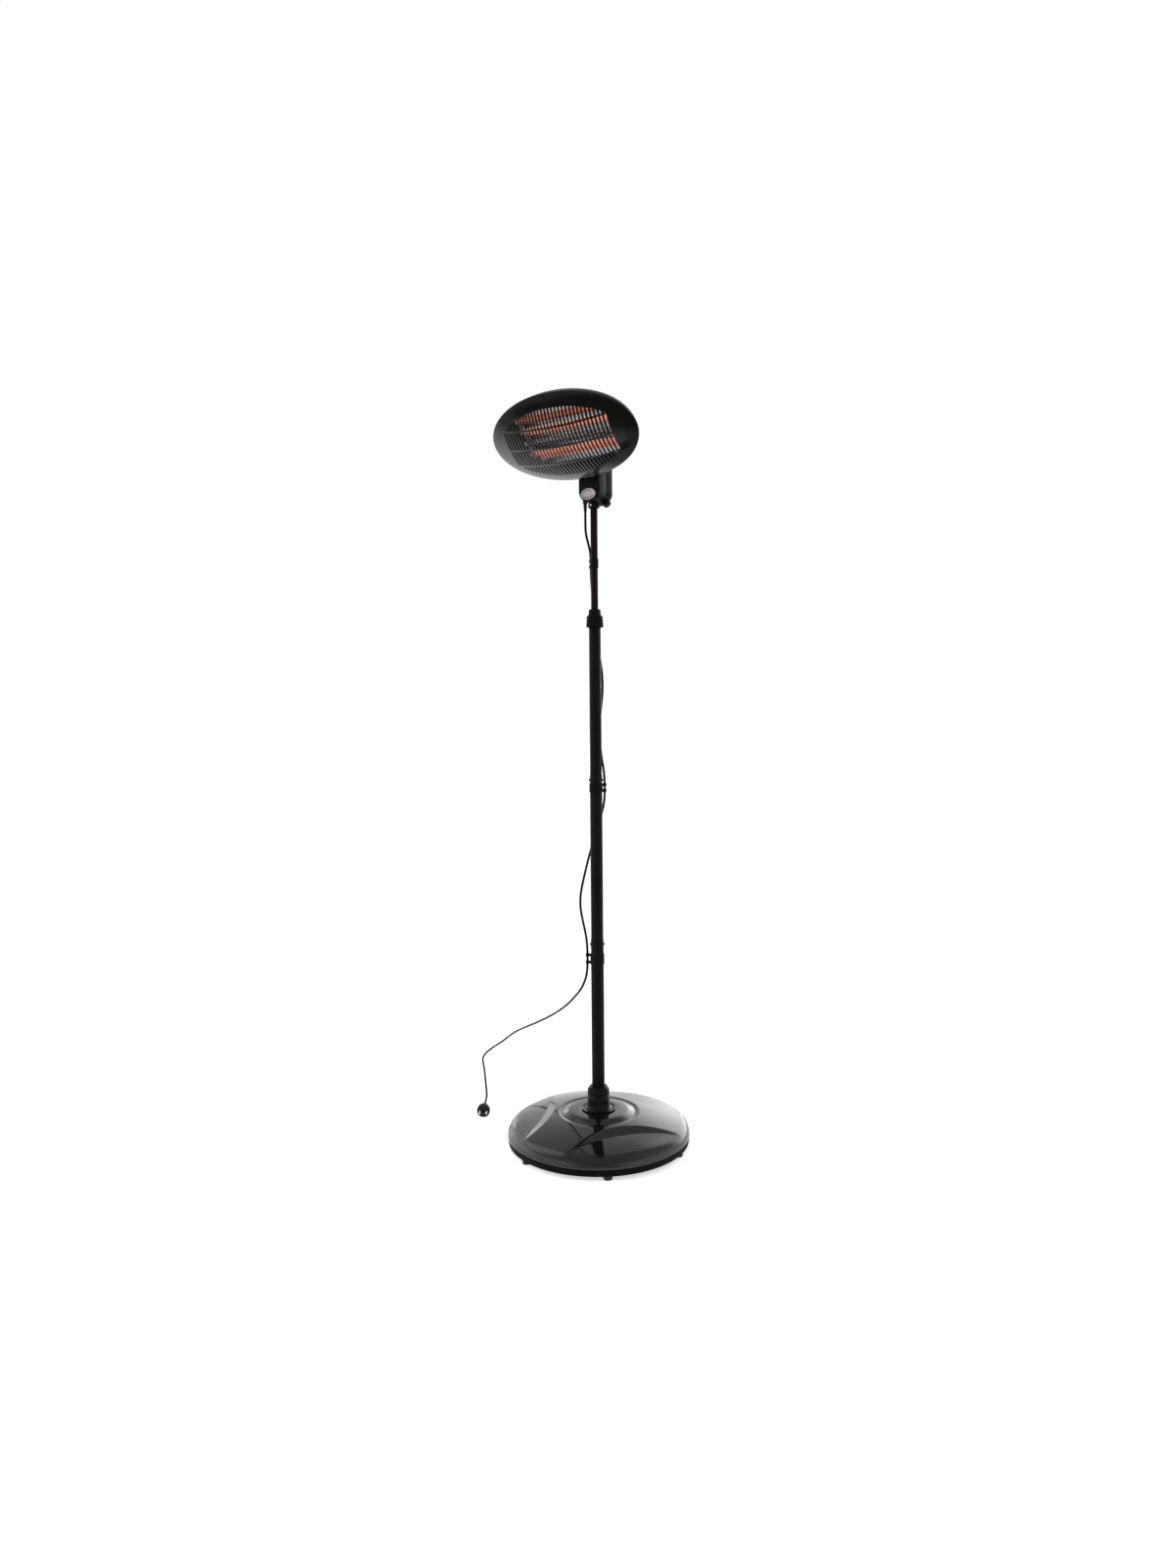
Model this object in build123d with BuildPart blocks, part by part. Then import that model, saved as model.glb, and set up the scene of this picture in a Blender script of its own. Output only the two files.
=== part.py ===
from build123d import *
import math
import os

# A free-standing quartz patio heater: a round domed base, a three-piece pole, a
# telescopic top tube with a lock nut, a switch box and a tilting oval head with
# four quartz tubes behind a slotted guard. The mains lead runs down the pole.
#
# Millimetres. +Z is up and the origin is on the floor under the middle of the
# base. The heater faces -Y, and +X is to the right of someone who looks at it.

os.makedirs("parts", exist_ok=True)

# ---------------------------------------------------------------- shared fits
SLIDE_FIT = 0.05       # radial clearance of a shaft that slides or turns in its hole
GAP = 0.3              # gap between faces that lie near each other without a fit

# ---------------------------------------------------------------- base
BASE_R = 250.0         # outer radius of the cover
FOOT_H = 12.0          # height of the rubber feet, up to the bottom plate
FOOT_R = 12.0
FOOT_INSET = 18.0      # the feet stand this far inside the rim
FOOT_COUNT = 6
FOOT_START = 7.5       # plan angle of the first foot, degrees
FOOT_SCREW_R = 2.0
FOOT_SCREW_HEAD_R = 4.2
PLATE_T = 1.0          # steel bottom plate
RIM_H = 19.0           # straight wall of the cover's rim
RIM_LEAN = 3.0         # the foot of that wall stands this far inside its top
COVER_T = 1.2          # wall of the cover
SHOULDER_IN = 24.0     # the rounded shoulder ends this far inside the rim
SHOULDER_H = 49.0      # height of that end above the bottom plate's underside
DOME_MID_IN = 85.0     # a point half way up the dome lies this far inside the rim
DOME_MID_H = 64.0      # its height above the bottom plate's underside
RING_R = 98.0          # foot of the raised ring in the middle
RING_FOOT_H = 74.0     # its height above the bottom plate's underside
RING_TOP_R = 80.0
RING_RISE = 8.5        # the ring's flat top above its foot
SWIRL_STEP = 3.0       # height of the pressed swirl above the rest of the dome
SWIRL_COUNT = 3
SWIRL_OUTER_CUT = 6.0  # the swirl stops this far from the rim and from the ring
SWIRL_SHOULDER = 3.0   # under the cover its steps lie this far inside those on top
SWIRL_START = 280.0    # plan angles at which one low field starts and ends, degrees
SWIRL_END = 367.0
SWIRL_START_SHARE = 0.98   # its edge as shares of the cover's radius: start, middle, end
SWIRL_INNER_SHARE = 0.46
SWIRL_END_SHARE = 0.98
WEIGHT_R = 150.0       # ballast disc under the cover
WEIGHT_T = 20.0
BOLT_R = 5.0           # bolt that ties pole, cover, ballast and plate together
BOLT_HEAD_R = 8.0
BOLT_HEAD_T = 6.4
BOLT_GRIP = 24.0       # length of the bolt inside the pole's end plug
WASHER_R = 14.0
WASHER_T = 2.0

# ---------------------------------------------------------------- pole
POLE_R = 17.5          # outer radius of the lowest section
POLE_WALL = 0.7
POLE_NEST = 0.1        # clearance between one section and the next inside it
LOWER_TOP_Z = 565.0
MIDDLE_TOP_Z = 1012.0
UPPER_TOP_Z = 1408.0
POLE_OVERLAP = 65.0    # length of each joint between sections
JOINT_SCREW_DROP = 14.0  # the joint screws sit this far below a section's top
JOINT_SCREW_R = 2.0
JOINT_SCREW_HEAD_R = 4.0
JOINT_SCREW_HEAD_T = 2.4
JOINT_SCREW_REACH = 3.2  # how far a joint screw goes inward from the surface
JOINT_SCREW_ANGLE = 32.0
END_PLUG_H = 30.0
SOCKET_R = 30.5        # moulded socket on top of the base
SOCKET_TOP_Z = 143.0
SOCKET_FLANGE_R = 46.5
SOCKET_FLANGE_T = 4.0
SOCKET_SPIGOT_R = 24.0
CAP_TOP_Z = 158.0      # ribbed cap nut on the socket
CAP_TOP_R = 25.0
CAP_NOTCHES = 12
CAP_NOTCH_R = 2.2

# ---------------------------------------------------------------- lead and its clips
LEAD_R = 3.25
LEAD_BORE_SLACK = 0.2  # the clip's eyes are this much wider in radius than the lead
CLIP_WALL = 1.7
CLIP_EYE_WALL = 1.6
CLIP_EYE_H = 8.0       # each clip has an upper and a lower eye
POLE_CLIP_H = 28.0
TUBE_CLIP_H = 23.0
LOW_CLIP_Z = 510.5     # middle of each clip
MID_CLIP_Z = 977.0
TOP_CLIP_Z = 1574.5

# The lead's corner points, from the gland under the switch box down to the plug.
LEAD_NECK = [
    (-20, -11, 1711), (-20, -11, 1686), (-21.5, -8, 1655), (-18.5, 0, 1628), (-14, 5, 1601),
    (-14, 5, 1574.5),
]
LEAD_MAST = [
    (-14, 5, 1574.5), (-14, 5, 1548), (-17, 14, 1508), (-19, 25, 1462), (-17, 31, 1408),
    (-9, 31, 1348), (6, 26, 1290), (8, 25, 1232), (-2, 26, 1172), (-5, 27, 1112),
    (3, 24, 1060), (17, 17, 1010), (17, 17, 977),
]
LEAD_POLE = [
    (17, 17, 977), (17, 17, 946), (2, 26, 906), (-13, 24, 862), (-23, 14, 818),
    (-30, 2, 775), (-36, -9, 731), (-42, -17, 688), (-42, -19, 648), (-35, -15, 608),
    (-28, -12, 572), (-25, -11, 541), (-25, -11, 510.5),
]
LEAD_FLOOR = [
    (-25, -11, 510.5), (-25, -11, 480), (-33, -10, 450), (-54, 2, 420), (-91, 30, 389),
    (-147, 76, 347), (-212, 130, 306), (-278, 183, 268), (-346, 235, 231), (-414, 285, 196),
    (-480, 331, 163), (-543, 373, 131), (-596, 407, 101), (-637, 431, 74), (-669, 444, 51),
    (-701, 442, 30), (-716, 415, 14), (-707, 383, 5.5), (-681, 352, 3.4), (-642, 309, 3.4),
    (-598, 257, 3.4), (-552, 202, 3.4), (-507, 149, 3.4), (-471, 104, 5.5), (-448, 72, 12),
    (-430, 48, 18.9), (-416, 26.5, 18.9),
]

# ---------------------------------------------------------------- plug
PLUG_R = 18.8
PLUG_LENGTH = 36.0
PLUG_RELIEF_LENGTH = 26.0
PLUG_RELIEF_TAIL_R = 4.2
PLUG_RELIEF_NOSE_R = 6.5
PIN_R = 2.4
PIN_LENGTH = 19.0
PIN_SPACING = 19.0
PIN_ROOT = 8.0         # length of a pin inside the plug

# ---------------------------------------------------------------- height clamp and top tube
TUBE_R = 9.5           # telescopic top tube
TUBE_WALL = 1.2
TUBE_BOTTOM_Z = 1165.0
TUBE_TOP_Z = 1790.0
GUIDE_H = 24.0
GUIDE_FIT = 0.08
BUSH_DEPTH = 28.0      # the bush's length inside the pole
BUSH_THREAD_R = 17.0
BUSH_THREAD_H = 28.0
COLLET_R = 13.5
COLLET_H = 13.0
COLLET_SLIT = 2.0
NUT_SKIRT_DROP = 2.0   # the nut's skirt reaches this far below the pole's top
NUT_BOTTOM_R = 23.1
NUT_SHOULDER_R = 21.0
NUT_SLEEVE_R = 16.8
NUT_TOP_R = 15.6
NUT_TOP_T = 3.7
NUT_RIBS = 20
NUT_GROOVE_R = 1.7
COLLAR_R = 15.0        # collar on the tube, under the switch box
COLLAR_H = 11.0
SET_SCREW_R = 2.5
SET_SCREW_PROUD = 1.5

# ---------------------------------------------------------------- switch box ("neck")
NECK_W = 64.0
NECK_FRONT_Y = -26.0
NECK_SPLIT_Y = 11.0    # the two shells meet here
NECK_REAR_Y = 48.0
NECK_ROUND_Z = 1763.0  # centre of the rounded bottom
NECK_TOP_Z = 1832.0
NECK_WALL = 2.5
NECK_CORNER_R = 6.0
NECK_FRONT_EDGE_R = 4.0
NECK_REAR_EDGE_R = 8.0
BOSS_R = 4.0
BOSS_X = 25.8
BOSS_LOW_Z = 1758.0
BOSS_HIGH_Z = 1788.0
BOX_SCREW_R = 1.5
BOX_SCREW_HEAD_R = 3.0
BOX_SCREW_HEAD_T = 1.8
BOX_SCREW_END_Y = 3.0
NECK_SOCKET_R = 14.0   # sleeve that turns on the top tube
NECK_SOCKET_TOP_Z = 1799.7
BADGE_W = 45.0
BADGE_H = 30.0
BADGE_T = 1.6
BADGE_RING_W = 3.6
BADGE_RING_T = 2.6
BADGE_Z = 1752.0
GLAND_X = -20.0
GLAND_Y = -11.0
GLAND_R = 6.5
GLAND_BOTTOM_Z = 1732.0
GLAND_TOP_Z = 1747.0
RELIEF_R = 5.2
RELIEF_TIP_R = 4.2
SELECTOR_ANGLE = -50.0  # direction in which the selector points, in the XZ plane
SELECTOR_Y = 24.0
SELECTOR_R = 11.0
SELECTOR_H = 13.5
SELECTOR_SEAT_GAP = 0.5
STEM_R = 3.0
STEM_LENGTH = 13.5
SWITCH_R = 9.0
SWITCH_LENGTH = 17.0
SWITCH_BORE_DEPTH = 12.0
TIP_SWITCH = (24.0, 12.0, 22.0)
TIP_SWITCH_Z = 1770.0
TERMINAL_BLOCK = (24.0, 12.0, 14.0)
TERMINAL_BLOCK_Z = 1802.0

# ---------------------------------------------------------------- tilt hinge
PIVOT_Y = 12.0
PIVOT_Z = 1850.0
TILT_BOLT_R = 4.0
TILT_BOLT_HEAD_R = 6.5
TILT_BOLT_HEAD_T = 5.0
YOKE_T = 4.0
YOKE_INNER_X = 19.5
YOKE_EYE_R = 13.0
YOKE_BASE_Z = 1800.0
YOKE_HALF_D = 20.0
WASHER_EYE_R = 9.0
ARM_T = 4.0
ARM_OUTER_X = 18.0
ARM_EYE_R = 12.0
ARM_FIT = 0.08
PAD_T = 3.5
PAD_LOW = -46.0        # the bracket's pad on the housing's back, measured up the face
PAD_HIGH = -6.0

# ---------------------------------------------------------------- head
HEAD_Y = -142.0        # centre of the head's rim plane
HEAD_Z = 1871.0
HEAD_TILT = 45.0       # the face points this far below the horizon
HEAD_HALF_W = 213.0
HEAD_HALF_H = 122.0
DOME_RISE = 42.0       # the guard's middle stands this far in front of the rim
GUARD_T = 1.2
GUARD_SKIRT = 6.0
HOUSING_T = 1.4
HOUSING_DEPTH = 70.0
HOUSING_RIM_GAP = 0.4  # radial gap between the housing and the guard's skirt
SLOT_PITCH = 10.0
SLOT_W = 5.0
SLOT_RIB_W = 4.6
SLOT_RIB_PITCH = 50.0
SLOT_AREA_HALF_W = 182.0
SLOT_AREA_HALF_H = 93.0
SLOT_AREA_CUT = 155.0  # the oval of slots is cut off at this half width
TUBE_COUNT = 4
TUBE_PITCH = 32.5
QUARTZ_R = 6.0
QUARTZ_WALL = 1.0
QUARTZ_DEPTH = 38.0    # the quartz tubes lie this far behind the rim plane
QUARTZ_HALF_L = 138.0
COIL_R = 3.2
CERAMIC_R = 8.0
CERAMIC_START = 131.0
CERAMIC_END_T = 3.7
TROUGH_DEPTH = 52.0
CUSP_DEPTH = 43.0
LIP_DEPTH = 28.0
LIP_HALF_H = 78.0
REFLECTOR_HALF_L = 128.0
REFLECTOR_T = 1.0
BRACKET_T = 1.5
BRACKET_HALF_H = 60.0
BRACKET_FRONT = 24.0
BRACKET_REAR = 46.0
POST_R = 3.0
POST_X = 70.0
REAR_SCREW_R = 1.5
REAR_SCREW_HEAD_R = 3.2
REAR_SCREW_HEAD_T = 2.0
REAR_SCREW_LENGTH = 10.0

# ---------------------------------------------------------------- worked out from the sizes above
FOOT_CIRCLE_R = BASE_R - FOOT_INSET
PLATE_TOP_Z = FOOT_H + PLATE_T
WEIGHT_TOP_Z = PLATE_TOP_Z + WEIGHT_T
COVER_TOP_Z = FOOT_H + RING_FOOT_H + RING_RISE
POLE_BOTTOM_Z = WEIGHT_TOP_Z + GAP
MIDDLE_R = POLE_R - POLE_WALL - POLE_NEST
UPPER_R = MIDDLE_R - POLE_WALL - POLE_NEST
UPPER_BORE_R = UPPER_R - POLE_WALL
CLAMP_Z = UPPER_TOP_Z + BUSH_THREAD_H
NUT_TOP_Z = CLAMP_Z + COLLET_H + GAP + NUT_TOP_T
NECK_R = NECK_W / 2
NECK_BOTTOM_Z = NECK_ROUND_Z - NECK_R
COLLAR_TOP_Z = NECK_BOTTOM_Z - 0.5
LEAD_EYE_R = LEAD_R + LEAD_BORE_SLACK

face_dir = Vector(0, -math.cos(math.radians(HEAD_TILT)), -math.sin(math.radians(HEAD_TILT)))
up_dir = Vector(0, -math.sin(math.radians(HEAD_TILT)), math.cos(math.radians(HEAD_TILT)))
head_centre = Vector(0, HEAD_Y, HEAD_Z)
# local x = across, y = up the face, z = out of the face
head_plane = Plane(origin=head_centre, x_dir=(1, 0, 0), z_dir=face_dir)
# local x = up the face, y = out of the face
head_section = Plane(origin=head_centre, x_dir=up_dir, z_dir=(1, 0, 0))
head_axis = Axis(head_centre, face_dir)
head_stretch = HEAD_HALF_W / HEAD_HALF_H
pivot = Vector(0, PIVOT_Y, PIVOT_Z)
pivot_up = (pivot - head_centre).dot(up_dir)
pivot_out = (pivot - head_centre).dot(face_dir)


def save(builder, name):
    """Labels a finished piece and writes it under its own name."""
    builder.part.label = name
    export_step(builder.part, f"parts/{name}.step")


def across(y, z=0):
    """A plane that faces -Y at the given y, with x to the right, and its origin at height z."""
    return Plane(origin=(0, y, z), x_dir=(1, 0, 0), z_dir=(0, -1, 0))


def joint_seat(outer_r, height, number):
    """The plane under the head of one of the four screws round a pole joint, facing outward."""
    angle = math.radians(JOINT_SCREW_ANGLE + 90 * number)
    out = Vector(math.cos(angle), math.sin(angle), 0)
    centre = out * (outer_r + SLIDE_FIT) + Vector(0, 0, height)
    return Plane(origin=centre, x_dir=(0, 0, 1), z_dir=out)


# ================================================================ base
def dome_half(drop, rim_r):
    """Half section of the base cover's outside, lowered by drop, closed to the axis."""
    with BuildSketch(Plane.XZ) as half:
        with BuildLine():
            rim = Line((rim_r - RIM_LEAN, FOOT_H), (rim_r, FOOT_H + RIM_H - drop))
            dome = ThreePointArc(
                (RING_R, FOOT_H + RING_FOOT_H - drop),
                (rim_r - DOME_MID_IN, FOOT_H + DOME_MID_H - drop),
                (rim_r - SHOULDER_IN, FOOT_H + SHOULDER_H - drop),
            )
            TangentArc(dome @ 1, rim @ 1, tangent=dome % 1)
            ring = Line(dome @ 0, (RING_TOP_R, COVER_TOP_Z - drop))
            top = Line(ring @ 1, (0, COVER_TOP_Z - drop))
            Line(top @ 1, (0, FOOT_H))
            Line((0, FOOT_H), rim @ 0)
        make_face()
    return half.sketch


def swirl_field(turn, growth):
    """One low field of the swirl seen from above: an arc inward, closed far outside the rim."""
    start_deg = SWIRL_START + turn
    end_deg = SWIRL_END + turn
    middle_deg = (start_deg + end_deg) / 2
    start = Vector(SWIRL_START_SHARE * BASE_R - growth, 0).rotate(Axis.Z, start_deg)
    inner = Vector(SWIRL_INNER_SHARE * BASE_R - growth, 0).rotate(Axis.Z, middle_deg)
    end = Vector(SWIRL_END_SHARE * BASE_R - growth, 0).rotate(Axis.Z, end_deg)
    beyond = Vector(1.6 * BASE_R, 0).rotate(Axis.Z, middle_deg)
    with BuildSketch(Plane.XY) as field:
        with BuildLine():
            ThreePointArc(start, inner, end)
            ThreePointArc(end, beyond, start)
        make_face()
    return field.sketch


def pressed_dome(depth, shoulder):
    """The dome with its swirl, at a depth below the cover's outside."""
    with BuildPart() as pressed:
        # the raised part of the swirl: a thin layer on the dome, without its three low fields
        add(dome_half(depth - SWIRL_STEP, BASE_R - depth))
        revolve(axis=Axis.Z)
        with BuildSketch(Plane.XY):
            Circle(BASE_R - SWIRL_OUTER_CUT - shoulder)
            for turn in range(SWIRL_COUNT):
                add(swirl_field(turn * 360 / SWIRL_COUNT, shoulder), mode=Mode.SUBTRACT)
            Circle(RING_R + SWIRL_OUTER_CUT + shoulder, mode=Mode.SUBTRACT)
        extrude(amount=COVER_TOP_Z * 2, mode=Mode.INTERSECT)
        add(dome_half(depth, BASE_R - depth))
        revolve(axis=Axis.Z)
    return pressed.part


cover_outside = pressed_dome(0, 0)
cover_inside = pressed_dome(COVER_T, SWIRL_SHOULDER)

with BuildPart() as base_cover:
    add(cover_outside)
    add(cover_inside, mode=Mode.SUBTRACT)
    with BuildSketch(Plane.XY):
        Circle(SOCKET_SPIGOT_R + GAP)
    extrude(amount=COVER_TOP_Z * 2, mode=Mode.SUBTRACT)
save(base_cover, "base_cover")

with BuildPart() as base_bottom_plate:
    with BuildSketch(Plane.XY.offset(FOOT_H)):
        Circle(BASE_R - RIM_LEAN - COVER_T - GAP)
        Circle(BOLT_R + GAP, mode=Mode.SUBTRACT)
        with PolarLocations(FOOT_CIRCLE_R, FOOT_COUNT, start_angle=FOOT_START):
            Circle(FOOT_SCREW_R + SLIDE_FIT, mode=Mode.SUBTRACT)
    extrude(amount=PLATE_T)
save(base_bottom_plate, "base_bottom_plate")

with BuildPart() as base_weight:
    with BuildSketch(Plane.XY.offset(PLATE_TOP_Z)):
        Circle(WEIGHT_R)
        Circle(BOLT_R + GAP, mode=Mode.SUBTRACT)
    extrude(amount=WEIGHT_T)
    chamfer(base_weight.edges().group_by(Axis.Z)[-1].sort_by(SortBy.RADIUS)[-1], 4)
save(base_weight, "base_weight")

foot_screw_seat = FOOT_H * 0.4
with BuildPart() as base_feet:
    with BuildSketch(Plane.XY):
        with PolarLocations(FOOT_CIRCLE_R, FOOT_COUNT, start_angle=FOOT_START):
            Circle(FOOT_R)
    extrude(amount=FOOT_H)
    chamfer(base_feet.edges().group_by(Axis.Z)[0], 1.2)
    with BuildSketch(Plane.XY):
        with PolarLocations(FOOT_CIRCLE_R, FOOT_COUNT, start_angle=FOOT_START):
            Circle(FOOT_SCREW_HEAD_R + GAP)
    extrude(amount=foot_screw_seat, mode=Mode.SUBTRACT)
    with BuildSketch(Plane.XY):
        with PolarLocations(FOOT_CIRCLE_R, FOOT_COUNT, start_angle=FOOT_START):
            Circle(FOOT_SCREW_R + SLIDE_FIT)
    extrude(amount=FOOT_H, mode=Mode.SUBTRACT)
save(base_feet, "base_feet")

with BuildPart() as foot_screws:
    with BuildSketch(Plane.XY.offset(foot_screw_seat)):
        with PolarLocations(FOOT_CIRCLE_R, FOOT_COUNT, start_angle=FOOT_START):
            Circle(FOOT_SCREW_HEAD_R)
    extrude(amount=-FOOT_SCREW_R)
    with BuildSketch(Plane.XY.offset(foot_screw_seat)):
        with PolarLocations(FOOT_CIRCLE_R, FOOT_COUNT, start_angle=FOOT_START):
            Circle(FOOT_SCREW_R)
    extrude(amount=PLATE_TOP_Z + FOOT_SCREW_R - foot_screw_seat)
save(foot_screws, "foot_screws")

with BuildPart() as base_washer:
    with BuildSketch(Plane.XY.offset(FOOT_H)):
        Circle(WASHER_R)
        Circle(BOLT_R + GAP, mode=Mode.SUBTRACT)
    extrude(amount=-WASHER_T)
save(base_washer, "base_washer")

with BuildPart() as base_bolt:
    with BuildSketch(Plane.XY.offset(FOOT_H - WASHER_T)):
        RegularPolygon(BOLT_HEAD_R, 6)
    extrude(amount=-BOLT_HEAD_T)
    with BuildSketch(Plane.XY.offset(FOOT_H - WASHER_T)):
        Circle(BOLT_R)
    extrude(amount=POLE_BOTTOM_Z + BOLT_GRIP - FOOT_H + WASHER_T)
save(base_bolt, "base_bolt")

with BuildPart() as pole_end_plug:
    with BuildSketch(Plane.XY.offset(POLE_BOTTOM_Z)):
        Circle(POLE_R - POLE_WALL - SLIDE_FIT)
        Circle(BOLT_R + SLIDE_FIT, mode=Mode.SUBTRACT)
    extrude(amount=END_PLUG_H)
save(pole_end_plug, "pole_end_plug")

with BuildPart() as pole_socket:
    with BuildSketch(Plane.XZ):
        with BuildLine():
            Polyline(
                (POLE_R + SLIDE_FIT, POLE_BOTTOM_Z),
                (SOCKET_SPIGOT_R, POLE_BOTTOM_Z),
                (SOCKET_SPIGOT_R, COVER_TOP_Z),
                (SOCKET_FLANGE_R, COVER_TOP_Z),
                (SOCKET_FLANGE_R, COVER_TOP_Z + SOCKET_FLANGE_T),
                (SOCKET_R + 6, COVER_TOP_Z + SOCKET_FLANGE_T / 2),
                (SOCKET_R, COVER_TOP_Z + SOCKET_FLANGE_T * 2),
                (SOCKET_R, SOCKET_TOP_Z - 1.5),
                (SOCKET_R - 1.5, SOCKET_TOP_Z),
                (POLE_R + SLIDE_FIT, SOCKET_TOP_Z),
                close=True,
            )
        make_face()
    revolve(axis=Axis.Z)
save(pole_socket, "pole_socket")

with BuildPart() as pole_socket_cap:
    with BuildSketch(Plane.XZ):
        with BuildLine():
            inner = Line((POLE_R + SLIDE_FIT, SOCKET_TOP_Z), (SOCKET_R - 0.8, SOCKET_TOP_Z))
            side = Line(inner @ 1, (SOCKET_R - 0.8, SOCKET_TOP_Z + 6))
            shoulder = ThreePointArc(
                side @ 1,
                ((SOCKET_R + CAP_TOP_R) / 2 + 0.6, CAP_TOP_Z - 2.6),
                (CAP_TOP_R, CAP_TOP_Z),
            )
            top = Line(shoulder @ 1, (POLE_R + SLIDE_FIT, CAP_TOP_Z))
            Line(top @ 1, inner @ 0)
        make_face()
    revolve(axis=Axis.Z)
    with BuildSketch(Plane.XY.offset(SOCKET_TOP_Z + 2)):
        with PolarLocations(SOCKET_R, CAP_NOTCHES):
            Circle(CAP_NOTCH_R)
    extrude(amount=CAP_TOP_Z, mode=Mode.SUBTRACT)
save(pole_socket_cap, "pole_socket_cap")


# ================================================================ pole
def pole_section(outer_r, bottom_z, top_z, screw_heights):
    """A thin round tube with four screw holes at each of the given heights."""
    with BuildPart() as section:
        with BuildSketch(Plane.XY.offset(bottom_z)):
            Circle(outer_r)
            Circle(outer_r - POLE_WALL, mode=Mode.SUBTRACT)
        extrude(amount=top_z - bottom_z)
        for height in screw_heights:
            for number in range(4):
                with BuildSketch(joint_seat(outer_r, height, number)):
                    Circle(JOINT_SCREW_R + SLIDE_FIT)
                extrude(amount=-outer_r / 2, mode=Mode.SUBTRACT)
    return section


def joint_screws(outer_r, height):
    """Four pan-head screws round a pole joint, their heads on the outer section."""
    with BuildPart() as screws:
        for number in range(4):
            seat = joint_seat(outer_r, height, number)
            with BuildSketch(seat):
                Circle(JOINT_SCREW_HEAD_R)
            extrude(amount=JOINT_SCREW_HEAD_T, taper=18)
            with BuildSketch(seat):
                Circle(JOINT_SCREW_R)
            extrude(amount=-JOINT_SCREW_REACH)
    return screws


low_joint_z = LOWER_TOP_Z - JOINT_SCREW_DROP
mid_joint_z = MIDDLE_TOP_Z - JOINT_SCREW_DROP
pole_lower = pole_section(POLE_R, POLE_BOTTOM_Z, LOWER_TOP_Z, [low_joint_z])
pole_middle = pole_section(
    MIDDLE_R, LOWER_TOP_Z - POLE_OVERLAP, MIDDLE_TOP_Z, [low_joint_z, mid_joint_z]
)
pole_upper = pole_section(UPPER_R, MIDDLE_TOP_Z - POLE_OVERLAP, UPPER_TOP_Z, [mid_joint_z])
save(pole_lower, "pole_lower")
save(pole_middle, "pole_middle")
save(pole_upper, "pole_upper")
save(joint_screws(POLE_R, low_joint_z), "joint_screws_low")
save(joint_screws(MIDDLE_R, mid_joint_z), "joint_screws_mid")


def cable_clip(tube_r, height, middle_z, lead_xy):
    """A band round the tube with two eyes beside it that the lead runs through."""
    lead = Vector(*lead_xy)
    reach = lead.length
    turn = math.degrees(math.atan2(lead.Y, lead.X))
    band_plane = Plane.XY.offset(middle_z - height / 2)
    with BuildPart() as clip:
        with BuildSketch(band_plane):
            Circle(tube_r + CLIP_WALL)
        extrude(amount=height)
        for eye_z in (middle_z - height / 2, middle_z + height / 2 - CLIP_EYE_H):
            with BuildSketch(Plane.XY.offset(eye_z).rotated((0, 0, turn))):
                with Locations((reach, 0)):
                    Circle(LEAD_EYE_R + CLIP_EYE_WALL)
                with Locations((reach / 2, 0)):
                    Rectangle(reach, CLIP_EYE_WALL * 2)
            extrude(amount=CLIP_EYE_H)
        with BuildSketch(band_plane):
            Circle(tube_r + SLIDE_FIT)
            with Locations((lead.X, lead.Y)):
                Circle(LEAD_EYE_R)
        extrude(amount=height, mode=Mode.SUBTRACT)
    return clip


save(cable_clip(POLE_R, POLE_CLIP_H, LOW_CLIP_Z, LEAD_FLOOR[0][:2]), "cable_clip_low")
save(cable_clip(MIDDLE_R, POLE_CLIP_H - 4, MID_CLIP_Z, LEAD_POLE[0][:2]), "cable_clip_mid")
save(cable_clip(TUBE_R, TUBE_CLIP_H, TOP_CLIP_Z, LEAD_MAST[0][:2]), "cable_clip_top")

# ================================================================ height clamp
with BuildPart() as height_bush:
    with BuildSketch(Plane.XY.offset(UPPER_TOP_Z - BUSH_DEPTH)):
        Circle(UPPER_BORE_R - SLIDE_FIT)
    extrude(amount=BUSH_DEPTH)
    with BuildSketch(Plane.XY.offset(UPPER_TOP_Z)):
        Circle(BUSH_THREAD_R)
    extrude(amount=BUSH_THREAD_H)
    with BuildSketch(Plane.XY.offset(UPPER_TOP_Z - BUSH_DEPTH)):
        Circle(TUBE_R + SLIDE_FIT)
    extrude(amount=BUSH_DEPTH + BUSH_THREAD_H, mode=Mode.SUBTRACT)
save(height_bush, "height_bush")

with BuildPart() as height_collet:
    with BuildSketch(Plane.XY.offset(CLAMP_Z)):
        Circle(COLLET_R)
        Circle(TUBE_R + GAP, mode=Mode.SUBTRACT)
        with Locations((COLLET_R, 0)):
            Rectangle(COLLET_R * 2, COLLET_SLIT, mode=Mode.SUBTRACT)
    extrude(amount=COLLET_H)
save(height_collet, "height_collet")

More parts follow.
